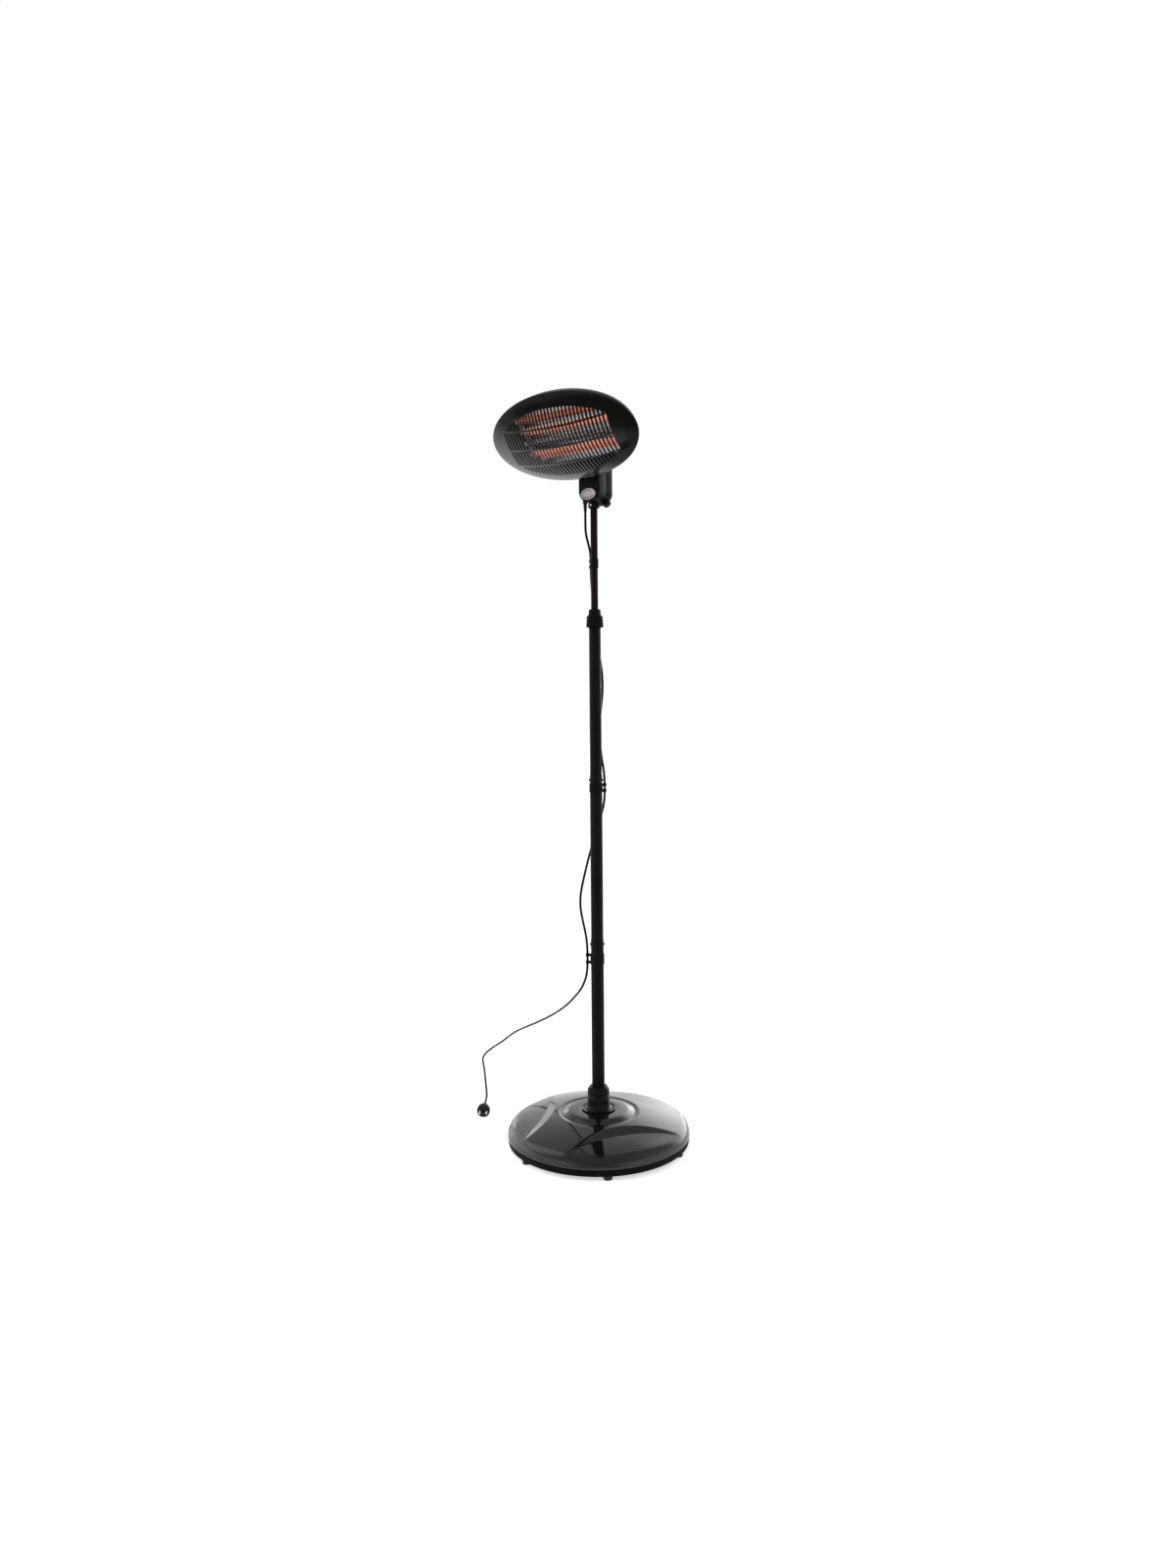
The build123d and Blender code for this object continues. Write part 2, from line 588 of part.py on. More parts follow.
with BuildPart() as height_nut:
    with BuildSketch(Plane.XZ):
        with BuildLine():
            Polyline(
                (BUSH_THREAD_R + GAP, UPPER_TOP_Z - NUT_SKIRT_DROP),
                (NUT_BOTTOM_R, UPPER_TOP_Z - NUT_SKIRT_DROP),
                (NUT_SHOULDER_R, CLAMP_Z),
                (NUT_SLEEVE_R, CLAMP_Z + 1),
                (NUT_TOP_R, NUT_TOP_Z),
                (TUBE_R + GAP, NUT_TOP_Z),
                (TUBE_R + GAP, NUT_TOP_Z - NUT_TOP_T),
                (COLLET_R + GAP, NUT_TOP_Z - NUT_TOP_T),
                (COLLET_R + GAP, CLAMP_Z + GAP),
                (BUSH_THREAD_R + GAP, CLAMP_Z + GAP),
                close=True,
            )
        make_face()
    revolve(axis=Axis.Z)
    with BuildSketch(Plane.XY.offset(UPPER_TOP_Z - NUT_SKIRT_DROP)):
        with PolarLocations(NUT_BOTTOM_R + NUT_GROOVE_R / 2, NUT_RIBS):
            Circle(NUT_GROOVE_R)
    extrude(amount=CLAMP_Z - UPPER_TOP_Z - 1, mode=Mode.SUBTRACT)
save(height_nut, "height_nut")

# ================================================================ top tube
with BuildPart() as inner_tube:
    with BuildSketch(Plane.XY.offset(TUBE_BOTTOM_Z)):
        Circle(TUBE_R)
        Circle(TUBE_R - TUBE_WALL, mode=Mode.SUBTRACT)
    extrude(amount=TUBE_TOP_Z - TUBE_BOTTOM_Z)
save(inner_tube, "inner_tube")

with BuildPart() as tube_guide:
    with BuildSketch(Plane.XY.offset(TUBE_BOTTOM_Z)):
        Circle(UPPER_BORE_R - GUIDE_FIT)
        Circle(TUBE_R + SLIDE_FIT, mode=Mode.SUBTRACT)
    extrude(amount=GUIDE_H)
save(tube_guide, "tube_guide")

set_screw_z = COLLAR_TOP_Z - COLLAR_H / 2
with BuildPart() as tube_top_collar:
    with BuildSketch(Plane.XY.offset(COLLAR_TOP_Z - COLLAR_H)):
        Circle(COLLAR_R)
        Circle(TUBE_R + SLIDE_FIT, mode=Mode.SUBTRACT)
    extrude(amount=COLLAR_H)
    chamfer(tube_top_collar.edges().group_by(Axis.Z)[0].sort_by(SortBy.RADIUS)[-1], 1.5)
    with BuildSketch(across(0, set_screw_z)):
        Circle(SET_SCREW_R + SLIDE_FIT)
    extrude(amount=COLLAR_R * 2, mode=Mode.SUBTRACT)
save(tube_top_collar, "tube_top_collar")

with BuildPart() as collar_set_screw:
    with BuildSketch(across(-TUBE_R - SLIDE_FIT, set_screw_z)):
        Circle(SET_SCREW_R)
    extrude(amount=COLLAR_R + SET_SCREW_PROUD - TUBE_R)
save(collar_set_screw, "collar_set_screw")


# ================================================================ switch box
def neck_outline(inset):
    """The switch box's outline on its split plane, drawn inward by inset."""
    half = NECK_R - inset
    top = NECK_TOP_Z - inset
    with BuildSketch(across(NECK_SPLIT_Y)) as outline:
        with BuildLine():
            right = Line((half, NECK_ROUND_Z), (half, top))
            over = Line(right @ 1, (-half, top))
            left = Line(over @ 1, (-half, NECK_ROUND_Z))
            ThreePointArc(left @ 1, (0, NECK_ROUND_Z - half), right @ 0)
        make_face()
        fillet(outline.vertices().group_by(Axis.Z)[-1], NECK_CORNER_R - inset)
    return outline.sketch


selector_dir = Vector(
    math.cos(math.radians(SELECTOR_ANGLE)), 0, math.sin(math.radians(SELECTOR_ANGLE))
)
selector_root = Vector(0, SELECTOR_Y, NECK_ROUND_Z)


def selector_plane(distance):
    """A plane square to the selector's axis, at a distance from the rounded bottom's centre."""
    return Plane(origin=selector_root + selector_dir * distance, x_dir=(0, 1, 0), z_dir=selector_dir)


def neck_shell(outer_y, edge_r):
    """One half of the switch box, from the split to its outer face."""
    sign = 1 if outer_y > NECK_SPLIT_Y else -1
    depth = abs(outer_y - NECK_SPLIT_Y)
    with BuildPart() as shell:
        extrude(neck_outline(0), amount=-sign * depth)
        fillet(shell.faces().sort_by(Axis.Y)[-1 if sign > 0 else 0].edges(), edge_r)
        extrude(neck_outline(NECK_WALL), amount=-sign * (depth - NECK_WALL), mode=Mode.SUBTRACT)
        # screw bosses, merged into the side walls
        with BuildSketch(across(NECK_SPLIT_Y)):
            for boss_z in (BOSS_LOW_Z, BOSS_HIGH_Z):
                with Locations((BOSS_X, boss_z), (-BOSS_X, boss_z)):
                    Circle(BOSS_R)
        extrude(amount=-sign * (depth - NECK_WALL))
        with BuildSketch(across(BOX_SCREW_END_Y - GAP)):
            for boss_z in (BOSS_LOW_Z, BOSS_HIGH_Z):
                with Locations((BOSS_X, boss_z), (-BOSS_X, boss_z)):
                    Circle(BOX_SCREW_R + SLIDE_FIT)
        extrude(amount=-(NECK_REAR_Y - BOX_SCREW_END_Y + 2 * GAP), mode=Mode.SUBTRACT)
        # way through the bottom for the sleeve on the top tube
        with BuildSketch(Plane.XY.offset(NECK_BOTTOM_Z - 1)):
            Circle(NECK_SOCKET_R + 2 * SLIDE_FIT)
        extrude(amount=NECK_R, mode=Mode.SUBTRACT)
        # slot in the top for the yoke's cheeks
        with BuildSketch(Plane.XY.offset(NECK_TOP_Z - 2 * NECK_WALL)):
            with Locations((0, PIVOT_Y)):
                Rectangle(2 * (YOKE_INNER_X + YOKE_T + GAP), 2 * (YOKE_HALF_D + GAP))
        extrude(amount=3 * NECK_WALL, mode=Mode.SUBTRACT)
        # holes for the gland and for the selector's stem
        with BuildSketch(Plane.XY.offset(GLAND_BOTTOM_Z - 1)):
            with Locations((GLAND_X, GLAND_Y)):
                Circle(GLAND_R + 2 * SLIDE_FIT)
        extrude(amount=GLAND_TOP_Z - GLAND_BOTTOM_Z + 2, mode=Mode.SUBTRACT)
        with BuildSketch(selector_plane(NECK_R - 2 * NECK_WALL)):
            Circle(STEM_R + GAP)
        extrude(amount=3 * NECK_WALL, mode=Mode.SUBTRACT)
    return shell


save(neck_shell(NECK_FRONT_Y, NECK_FRONT_EDGE_R), "neck_front_shell")
save(neck_shell(NECK_REAR_Y, NECK_REAR_EDGE_R), "neck_rear_shell")

with BuildPart() as neck_screws:
    for boss_z in (BOSS_LOW_Z, BOSS_HIGH_Z):
        with BuildSketch(across(BOX_SCREW_END_Y)):
            with Locations((BOSS_X, boss_z), (-BOSS_X, boss_z)):
                Circle(BOX_SCREW_R)
        extrude(amount=-(NECK_REAR_Y - BOX_SCREW_END_Y))
        with BuildSketch(across(NECK_REAR_Y)):
            with Locations((BOSS_X, boss_z), (-BOSS_X, boss_z)):
                Circle(BOX_SCREW_HEAD_R)
        extrude(amount=-BOX_SCREW_HEAD_T)
save(neck_screws, "neck_screws")

with BuildPart() as neck_badge:
    with BuildSketch(across(NECK_FRONT_Y, BADGE_Z)):
        Ellipse(BADGE_W / 2, BADGE_H / 2)
    extrude(amount=BADGE_T)
    with BuildSketch(across(NECK_FRONT_Y, BADGE_Z)):
        Ellipse(BADGE_W / 2, BADGE_H / 2)
        Ellipse(BADGE_W / 2 - BADGE_RING_W, BADGE_H / 2 - BADGE_RING_W, mode=Mode.SUBTRACT)
    extrude(amount=BADGE_RING_T)
save(neck_badge, "neck_badge")

with BuildPart() as neck_socket:
    with BuildSketch(Plane.XY.offset(COLLAR_TOP_Z + GAP)):
        Circle(NECK_SOCKET_R)
        Circle(TUBE_R + SLIDE_FIT, mode=Mode.SUBTRACT)
    extrude(amount=NECK_SOCKET_TOP_Z - COLLAR_TOP_Z - GAP)
save(neck_socket, "neck_socket")

with BuildPart() as cable_gland:
    with BuildSketch(Plane.XY.offset(GLAND_BOTTOM_Z)):
        with Locations((GLAND_X, GLAND_Y)):
            Circle(GLAND_R)
    extrude(amount=GLAND_TOP_Z - GLAND_BOTTOM_Z)
    with BuildSketch(Plane.XY.offset(GLAND_BOTTOM_Z)):
        with Locations((GLAND_X, GLAND_Y)):
            Circle(RELIEF_R)
    with BuildSketch(Plane.XY.offset(LEAD_NECK[0][2])):
        with Locations((GLAND_X, GLAND_Y)):
            Circle(RELIEF_TIP_R)
    loft()
save(cable_gland, "cable_gland")

# the switch's flat face fits inside the rounded wall
switch_top = math.sqrt((NECK_R - NECK_WALL - GAP) ** 2 - SWITCH_R**2)
with BuildPart() as rotary_switch:
    with BuildSketch(selector_plane(switch_top)):
        Circle(SWITCH_R)
    extrude(amount=-SWITCH_LENGTH)
    with BuildSketch(selector_plane(switch_top)):
        Circle(STEM_R + SLIDE_FIT)
    extrude(amount=-SWITCH_BORE_DEPTH, mode=Mode.SUBTRACT)
save(rotary_switch, "rotary_switch")

with BuildPart() as selector_knob:
    with BuildSketch(selector_plane(NECK_R + SELECTOR_SEAT_GAP)):
        Circle(SELECTOR_R)
    extrude(amount=SELECTOR_H)
    chamfer(selector_knob.faces().sort_by(Axis(selector_root, selector_dir))[-1].edges(), 1)
    with BuildSketch(selector_plane(NECK_R + SELECTOR_SEAT_GAP)):
        Circle(STEM_R)
    extrude(amount=-STEM_LENGTH)
    with BuildSketch(selector_plane(NECK_R + SELECTOR_SEAT_GAP + 3)):
        with PolarLocations(SELECTOR_R + 0.9, 12):
            Circle(1.5)
    extrude(amount=SELECTOR_H, mode=Mode.SUBTRACT)
save(selector_knob, "selector_knob")

with BuildPart() as tip_over_switch:
    with BuildSketch(Plane.XY.offset(TIP_SWITCH_Z)):
        with Locations((0, NECK_REAR_Y - NECK_WALL - GAP - TIP_SWITCH[1] / 2)):
            Rectangle(TIP_SWITCH[0], TIP_SWITCH[1])
    extrude(amount=TIP_SWITCH[2])
save(tip_over_switch, "tip_over_switch")

with BuildPart() as terminal_block:
    with BuildSketch(Plane.XY.offset(TERMINAL_BLOCK_Z)):
        with Locations((0, NECK_FRONT_Y + NECK_WALL + GAP + TERMINAL_BLOCK[1] / 2)):
            Rectangle(TERMINAL_BLOCK[0], TERMINAL_BLOCK[1])
    extrude(amount=TERMINAL_BLOCK[2])
save(terminal_block, "terminal_block")


# ================================================================ tilt hinge
def side_plane(x):
    """A plane that faces +X at the given x, with local x along +Y and local y up."""
    return Plane.YZ.offset(x)


with BuildPart() as neck_yoke:
    with BuildSketch(Plane.XY.offset(YOKE_BASE_Z)):
        with Locations((0, PIVOT_Y)):
            Rectangle(2 * (NECK_R - NECK_WALL - GAP), 2 * YOKE_HALF_D)
    extrude(amount=YOKE_T)
    for inner_x in (YOKE_INNER_X, -YOKE_INNER_X - YOKE_T):
        with BuildSketch(side_plane(inner_x)):
            with BuildLine():
                Polyline(
                    (PIVOT_Y - YOKE_HALF_D, YOKE_BASE_Z),
                    (PIVOT_Y + YOKE_HALF_D, YOKE_BASE_Z),
                    (PIVOT_Y + YOKE_EYE_R, PIVOT_Z),
                    (PIVOT_Y - YOKE_EYE_R, PIVOT_Z),
                    close=True,
                )
            make_face()
            with Locations((PIVOT_Y, PIVOT_Z)):
                Circle(YOKE_EYE_R)
        extrude(amount=YOKE_T)
    with BuildSketch(side_plane(0)):
        with Locations((PIVOT_Y, PIVOT_Z)):
            Circle(TILT_BOLT_R + SLIDE_FIT)
    extrude(amount=NECK_R, both=True, mode=Mode.SUBTRACT)
save(neck_yoke, "neck_yoke")

yoke_outer_x = YOKE_INNER_X + YOKE_T
with BuildPart() as tilt_bolt:
    with BuildSketch(side_plane(-yoke_outer_x)):
        with Locations((PIVOT_Y, PIVOT_Z)):
            Circle(TILT_BOLT_R)
    extrude(amount=2 * yoke_outer_x + TILT_BOLT_HEAD_T + 1)
    with BuildSketch(side_plane(-yoke_outer_x)):
        with Locations((PIVOT_Y, PIVOT_Z)):
            RegularPolygon(TILT_BOLT_HEAD_R, 6)
    extrude(amount=-TILT_BOLT_HEAD_T)
save(tilt_bolt, "tilt_bolt")

with BuildPart() as tilt_nut:
    with BuildSketch(side_plane(yoke_outer_x)):
        with Locations((PIVOT_Y, PIVOT_Z)):
            RegularPolygon(TILT_BOLT_HEAD_R, 6)
            Circle(TILT_BOLT_R + SLIDE_FIT, mode=Mode.SUBTRACT)
    extrude(amount=TILT_BOLT_HEAD_T)
save(tilt_nut, "tilt_nut")

washer_t = YOKE_INNER_X - ARM_OUTER_X - GAP
with BuildPart() as tilt_washers:
    for start_x in (YOKE_INNER_X - washer_t, -YOKE_INNER_X):
        with BuildSketch(side_plane(start_x)):
            with Locations((PIVOT_Y, PIVOT_Z)):
                Circle(WASHER_EYE_R)
                Circle(TILT_BOLT_R + SLIDE_FIT, mode=Mode.SUBTRACT)
        extrude(amount=washer_t)
save(tilt_washers, "tilt_washers")

# The bracket on the head: a pad on the housing's flat back and two arms to the pivot.
back_out = -HOUSING_DEPTH
with BuildPart() as head_bracket:
    with BuildSketch(head_plane.offset(back_out)):
        with Locations((0, (PAD_LOW + PAD_HIGH) / 2)):
            Rectangle(2 * ARM_OUTER_X, PAD_HIGH - PAD_LOW)
    extrude(amount=-PAD_T)
    for inner_x in (ARM_OUTER_X - ARM_T, -ARM_OUTER_X):
        with BuildSketch(head_section.offset(inner_x)):
            with BuildLine():
                Polyline(
                    (PAD_HIGH, back_out - PAD_T),
                    (PAD_LOW * 1.5, back_out - PAD_T),
                    (pivot_up + 2, pivot_out + ARM_EYE_R - 0.3),
                    (pivot_up - 2, pivot_out - ARM_EYE_R + 0.3),
                    (PAD_LOW, back_out - 4 * PAD_T),
                    (PAD_HIGH, back_out - 2 * PAD_T),
                    close=True,
                )
            make_face()
            with Locations((pivot_up, pivot_out)):
                Circle(ARM_EYE_R)
        extrude(amount=ARM_T)
    with BuildSketch(head_section):
        with Locations((pivot_up, pivot_out)):
            Circle(TILT_BOLT_R + ARM_FIT)
    extrude(amount=2 * ARM_OUTER_X, both=True, mode=Mode.SUBTRACT)
save(head_bracket, "head_bracket")


# ================================================================ head
def housing_half(inset):
    """Half section of the rear housing, drawn inward by inset, closed to the axis."""
    corner = HOUSING_DEPTH - inset
    flat_r = HEAD_HALF_H - GUARD_T - HOUSING_RIM_GAP - HOUSING_DEPTH
    with BuildSketch(head_section) as half:
        with BuildLine():
            back = Line((0, -corner), (flat_r, -corner))
            wall = CenterArc((flat_r, 0), corner, 270, 90 - math.degrees(GAP / corner))
            rim = Line(wall @ 1, (0, (wall @ 1).Y))
            Line(rim @ 1, back @ 0)
        make_face()
    return half.sketch


with BuildPart() as rear_housing:
    add(housing_half(0))
    revolve(axis=head_axis)
    add(housing_half(HOUSING_T))
    revolve(axis=head_axis, mode=Mode.SUBTRACT)
    scale(by=(head_stretch, 1, 1), about=(0, 0, 0))
    with BuildSketch(head_plane.offset(back_out)):
        with GridLocations(2 * POST_X, TUBE_PITCH, 2, 2):
            Circle(REAR_SCREW_R + SLIDE_FIT)
    extrude(amount=2 * HOUSING_T, mode=Mode.SUBTRACT)
save(rear_housing, "rear_housing")

dome_r = (HEAD_HALF_H**2 + DOME_RISE**2) / (2 * DOME_RISE)
dome_centre_out = DOME_RISE - dome_r


def guard_half(inset):
    """Half section of the guard and its skirt, drawn inward by inset, closed to the axis."""
    rim_r = HEAD_HALF_H - inset
    cap_r = dome_r - inset
    edge_deg = math.degrees(math.asin(-dome_centre_out / cap_r))
    ledge = [(rim_r, 0)] if inset > 0 else []
    with BuildSketch(head_section) as half:
        with BuildLine():
            cap = CenterArc((0, dome_centre_out), cap_r, edge_deg, 90 - edge_deg)
            Polyline(cap @ 1, (0, -GUARD_SKIRT), (rim_r, -GUARD_SKIRT), *ledge, cap @ 0)
        make_face()
    return half.sketch


with BuildPart() as front_guard:
    add(guard_half(0))
    revolve(axis=head_axis)
    add(guard_half(GUARD_T))
    revolve(axis=head_axis, mode=Mode.SUBTRACT)
    scale(by=(head_stretch, 1, 1), about=(0, 0, 0))
    with BuildSketch(head_plane):
        Ellipse(SLOT_AREA_HALF_W, SLOT_AREA_HALF_H)
        Rectangle(2 * SLOT_AREA_CUT, 2 * HEAD_HALF_H, mode=Mode.INTERSECT)
        slot_columns = 2 * int(SLOT_AREA_CUT / SLOT_PITCH) + 1
        with GridLocations(SLOT_PITCH, 0, slot_columns, 1):
            Rectangle(SLOT_W, 2 * HEAD_HALF_H, mode=Mode.INTERSECT)
        with GridLocations(0, SLOT_RIB_PITCH, 1, 3):
            Rectangle(2 * HEAD_HALF_W, SLOT_RIB_W, mode=Mode.SUBTRACT)
    extrude(amount=2 * DOME_RISE, mode=Mode.SUBTRACT)
save(front_guard, "front_guard")

trough_centres = [(i - (TUBE_COUNT - 1) / 2) * TUBE_PITCH for i in range(TUBE_COUNT)]


trough_edge = TUBE_COUNT * TUBE_PITCH / 2

with BuildPart() as reflector:
    with BuildSketch(head_section):
        with BuildLine():
            for sink in (0, REFLECTOR_T):
                for centre in trough_centres:
                    ThreePointArc(
                        (centre - TUBE_PITCH / 2, -CUSP_DEPTH - sink),
                        (centre, -TROUGH_DEPTH - sink),
                        (centre + TUBE_PITCH / 2, -CUSP_DEPTH - sink),
                    )
                for side in (-1, 1):
                    Line(
                        (side * trough_edge, -CUSP_DEPTH - sink),
                        (side * LIP_HALF_H, -LIP_DEPTH - sink),
                    )
            for side in (-1, 1):
                Line(
                    (side * LIP_HALF_H, -LIP_DEPTH),
                    (side * LIP_HALF_H, -LIP_DEPTH - REFLECTOR_T),
                )
        make_face()
    extrude(amount=REFLECTOR_HALF_L, both=True)
save(reflector, "reflector")

for side_name, side_sign in (("left", -1), ("right", 1)):
    with BuildPart() as tube_bracket:
        with BuildSketch(head_section.offset(side_sign * (REFLECTOR_HALF_L + GAP))):
            with Locations((0, -(BRACKET_FRONT + BRACKET_REAR) / 2)):
                Rectangle(2 * BRACKET_HALF_H, BRACKET_REAR - BRACKET_FRONT)
            with Locations(*[(centre, -QUARTZ_DEPTH) for centre in trough_centres]):
                Circle(QUARTZ_R + 2 * SLIDE_FIT, mode=Mode.SUBTRACT)
        extrude(amount=side_sign * BRACKET_T)
    save(tube_bracket, f"tube_bracket_{side_name}")

for number, centre in enumerate(trough_centres, start=1):
    with BuildPart() as quartz_tube:
        with BuildSketch(head_section):
            with Locations((centre, -QUARTZ_DEPTH)):
                Circle(QUARTZ_R)
                Circle(QUARTZ_R - QUARTZ_WALL, mode=Mode.SUBTRACT)
        extrude(amount=QUARTZ_HALF_L, both=True)
    save(quartz_tube, f"quartz_tube_{number}")

with BuildPart() as heating_elements:
    with BuildSketch(head_section):
        with Locations(*[(centre, -QUARTZ_DEPTH) for centre in trough_centres]):
            Circle(COIL_R)
    extrude(amount=QUARTZ_HALF_L, both=True)
save(heating_elements, "heating_elements")

ceramic_length = QUARTZ_HALF_L + GAP - CERAMIC_START + CERAMIC_END_T
with BuildPart() as ceramic_caps:
    for side_sign in (-1, 1):
        with BuildSketch(head_section.offset(side_sign * CERAMIC_START)):
            with Locations(*[(centre, -QUARTZ_DEPTH) for centre in trough_centres]):
                Circle(CERAMIC_R)
        extrude(amount=side_sign * ceramic_length)
        with BuildSketch(head_section.offset(side_sign * CERAMIC_START)):
            with Locations(*[(centre, -QUARTZ_DEPTH) for centre in trough_centres]):
                Circle(QUARTZ_R + SLIDE_FIT)
        extrude(amount=side_sign * (QUARTZ_HALF_L + GAP - CERAMIC_START), mode=Mode.SUBTRACT)
save(ceramic_caps, "ceramic_caps")

post_bottom = -HOUSING_DEPTH + HOUSING_T
post_top = -TROUGH_DEPTH - REFLECTOR_T - GAP
with BuildPart() as reflector_posts:
    with BuildSketch(head_plane.offset(post_bottom)):
        with GridLocations(2 * POST_X, TUBE_PITCH, 2, 2):
            Circle(POST_R)
            Circle(REAR_SCREW_R + SLIDE_FIT, mode=Mode.SUBTRACT)
    extrude(amount=post_top - post_bottom)
save(reflector_posts, "reflector_posts")

with BuildPart() as rear_screws:
    with BuildSketch(head_plane.offset(back_out)):
        with GridLocations(2 * POST_X, TUBE_PITCH, 2, 2):
            Circle(REAR_SCREW_HEAD_R)
    extrude(amount=-REAR_SCREW_HEAD_T)
    with BuildSketch(head_plane.offset(back_out)):
        with GridLocations(2 * POST_X, TUBE_PITCH, 2, 2):
            Circle(REAR_SCREW_R)
    extrude(amount=REAR_SCREW_LENGTH)
save(rear_screws, "rear_screws")


# ================================================================ mains lead
def corner_radii(points):
    """The radius of each inner corner: 0.45 of its shorter run over the tangent of half the turn."""
    radii = []
    for before, here, after in zip(points, points[1:], points[2:]):
        run_in = Vector(*here) - Vector(*before)
        run_out = Vector(*after) - Vector(*here)
        half_turn = math.radians(run_in.get_angle(run_out) / 2)
        radii.append(0.45 * min(run_in.length, run_out.length) / math.tan(half_turn))
    return radii


def lead_stretch(name, points):
    """A round lead along straight runs joined by tangent arcs."""
    radii = corner_radii(points)
    start = Vector(*points[0])
    first_run = Vector(*points[1]) - start
    with BuildPart() as stretch:
        with BuildLine() as route:
            FilletPolyline(*points, radius=radii)
        with BuildSketch(Plane(origin=start, z_dir=first_run)):
            Circle(LEAD_R)
        sweep(path=route.wires()[0])
    length = route.wires()[0].length
    share = stretch.part.volume / (math.pi * LEAD_R**2 * length)
    print(f"{name}: {length:.0f} mm, volume share {share:.4f}, least radius {min(radii):.0f} mm")
    print("  radii", " ".join(f"{radius:.0f}" for radius in radii))
    save(stretch, name)
    return length


lead_length = sum(
    lead_stretch(name, points)
    for name, points in (
        ("lead_neck", LEAD_NECK),
        ("lead_mast", LEAD_MAST),
        ("lead_pole", LEAD_POLE),
        ("lead_floor", LEAD_FLOOR),
    )
)
print(f"lead length {lead_length:.0f} mm")

# ================================================================ plug
plug_end = Vector(*LEAD_FLOOR[-1])
plug_dir = (plug_end - Vector(*LEAD_FLOOR[-2])).normalized()
plug_tail = Plane(origin=plug_end, x_dir=Vector(0, 0, 1).cross(plug_dir), z_dir=plug_dir)

with BuildPart() as plug_body:
    with BuildSketch(plug_tail):
        Circle(PLUG_RELIEF_TAIL_R)
    with BuildSketch(plug_tail.offset(PLUG_RELIEF_LENGTH)):
        Circle(PLUG_RELIEF_NOSE_R)
    loft()
    with BuildSketch(Plane(origin=plug_end, x_dir=(0, 0, 1), z_dir=plug_tail.x_dir)):
        with BuildLine():
            # local x is up, so local y runs back along the plug
            forward = -1 if plug_tail.x_dir.cross(Vector(0, 0, 1)).dot(plug_dir) < 0 else 1
            nose = PLUG_RELIEF_LENGTH
            front = nose + PLUG_LENGTH
            start_line = Line((0, forward * (nose - 2)), (PLUG_RELIEF_NOSE_R + 2, forward * (nose - 2)))
            cone = Line(start_line @ 1, (PLUG_R * 0.72, forward * (nose + 12)))
            grip = ThreePointArc(
                cone @ 1,
                (PLUG_R * 0.82, forward * (nose + 17)),
                (PLUG_R, forward * (nose + 21)),
            )
            side = Line(grip @ 1, (PLUG_R, forward * front))
            face = Line(side @ 1, (0, forward * front))
            Line(face @ 1, start_line @ 0)
        make_face()
    revolve(axis=Axis(plug_end, plug_dir))
    with BuildSketch(plug_tail.offset(front)):
        with GridLocations(PIN_SPACING, 0, 2, 1):
            Circle(PIN_R + SLIDE_FIT)
    extrude(amount=-PIN_ROOT, mode=Mode.SUBTRACT)
save(plug_body, "plug_body")

with BuildPart() as plug_pins:
    with BuildSketch(plug_tail.offset(front - PIN_ROOT)):
        with GridLocations(PIN_SPACING, 0, 2, 1):
            Circle(PIN_R)
    extrude(amount=PIN_ROOT + PIN_LENGTH)
    chamfer(plug_pins.faces().sort_by(Axis(plug_end, plug_dir))[-2:].edges(), 0.6)
save(plug_pins, "plug_pins")
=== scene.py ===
import logging
import math
from dataclasses import dataclass, field, replace
from enum import Enum
from typing import Any, Optional, Sequence, Union

import bmesh
import bpy
from mathutils import Matrix, Vector


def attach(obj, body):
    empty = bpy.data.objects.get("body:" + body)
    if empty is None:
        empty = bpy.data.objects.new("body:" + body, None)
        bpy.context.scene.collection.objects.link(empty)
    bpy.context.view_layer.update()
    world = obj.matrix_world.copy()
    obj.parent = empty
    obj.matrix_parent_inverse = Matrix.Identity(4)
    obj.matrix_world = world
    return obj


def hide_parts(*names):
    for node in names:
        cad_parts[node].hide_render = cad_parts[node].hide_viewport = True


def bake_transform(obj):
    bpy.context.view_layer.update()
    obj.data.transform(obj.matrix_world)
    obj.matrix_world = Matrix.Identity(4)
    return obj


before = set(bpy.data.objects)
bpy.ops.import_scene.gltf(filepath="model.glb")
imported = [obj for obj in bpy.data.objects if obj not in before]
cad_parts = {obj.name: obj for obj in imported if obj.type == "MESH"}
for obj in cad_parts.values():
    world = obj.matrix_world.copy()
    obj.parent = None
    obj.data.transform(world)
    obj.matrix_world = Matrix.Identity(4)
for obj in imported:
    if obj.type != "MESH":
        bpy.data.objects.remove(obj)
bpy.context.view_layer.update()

MM = 0.001
WELD = 2e-6  # vertices closer than this are merged, in metres
FLAT_ANGLE = math.radians(0.4)  # faces that meet at less than this become one
SMOOTH_MARGIN = 6  # degrees past the rounding's angle up to which shading is smooth
LEAST_ROUGHNESS = 0.02
WEAR_PER_PATCH = 2.3  # how much finer the uneven gloss is than the colour patches

log = logging.getLogger("heater")

Piece = bpy.types.Object
Material = bpy.types.Material
Socket = bpy.types.NodeSocket
Pair = tuple[float, float]
Point = tuple[float, float, float]


class Body(str, Enum):
    """The moving bodies of the heater, by their names in the frame."""

    STAND = "stand"
    LOCK_NUT = "lock_nut"
    MAST = "mast"
    NECK = "neck"
    SELECTOR = "selector"
    HEAD = "head"


class Glow(Enum):
    """How brightly a quartz tube is lit: emission strength and colour."""

    OFF = (0.0, (1.0, 0.3, 0.1))
    DIM = (0.14, (0.42, 0.16, 0.12))
    WARM = (0.27, (0.66, 0.34, 0.27))
    BRIGHT = (0.25, (0.66, 0.28, 0.21))


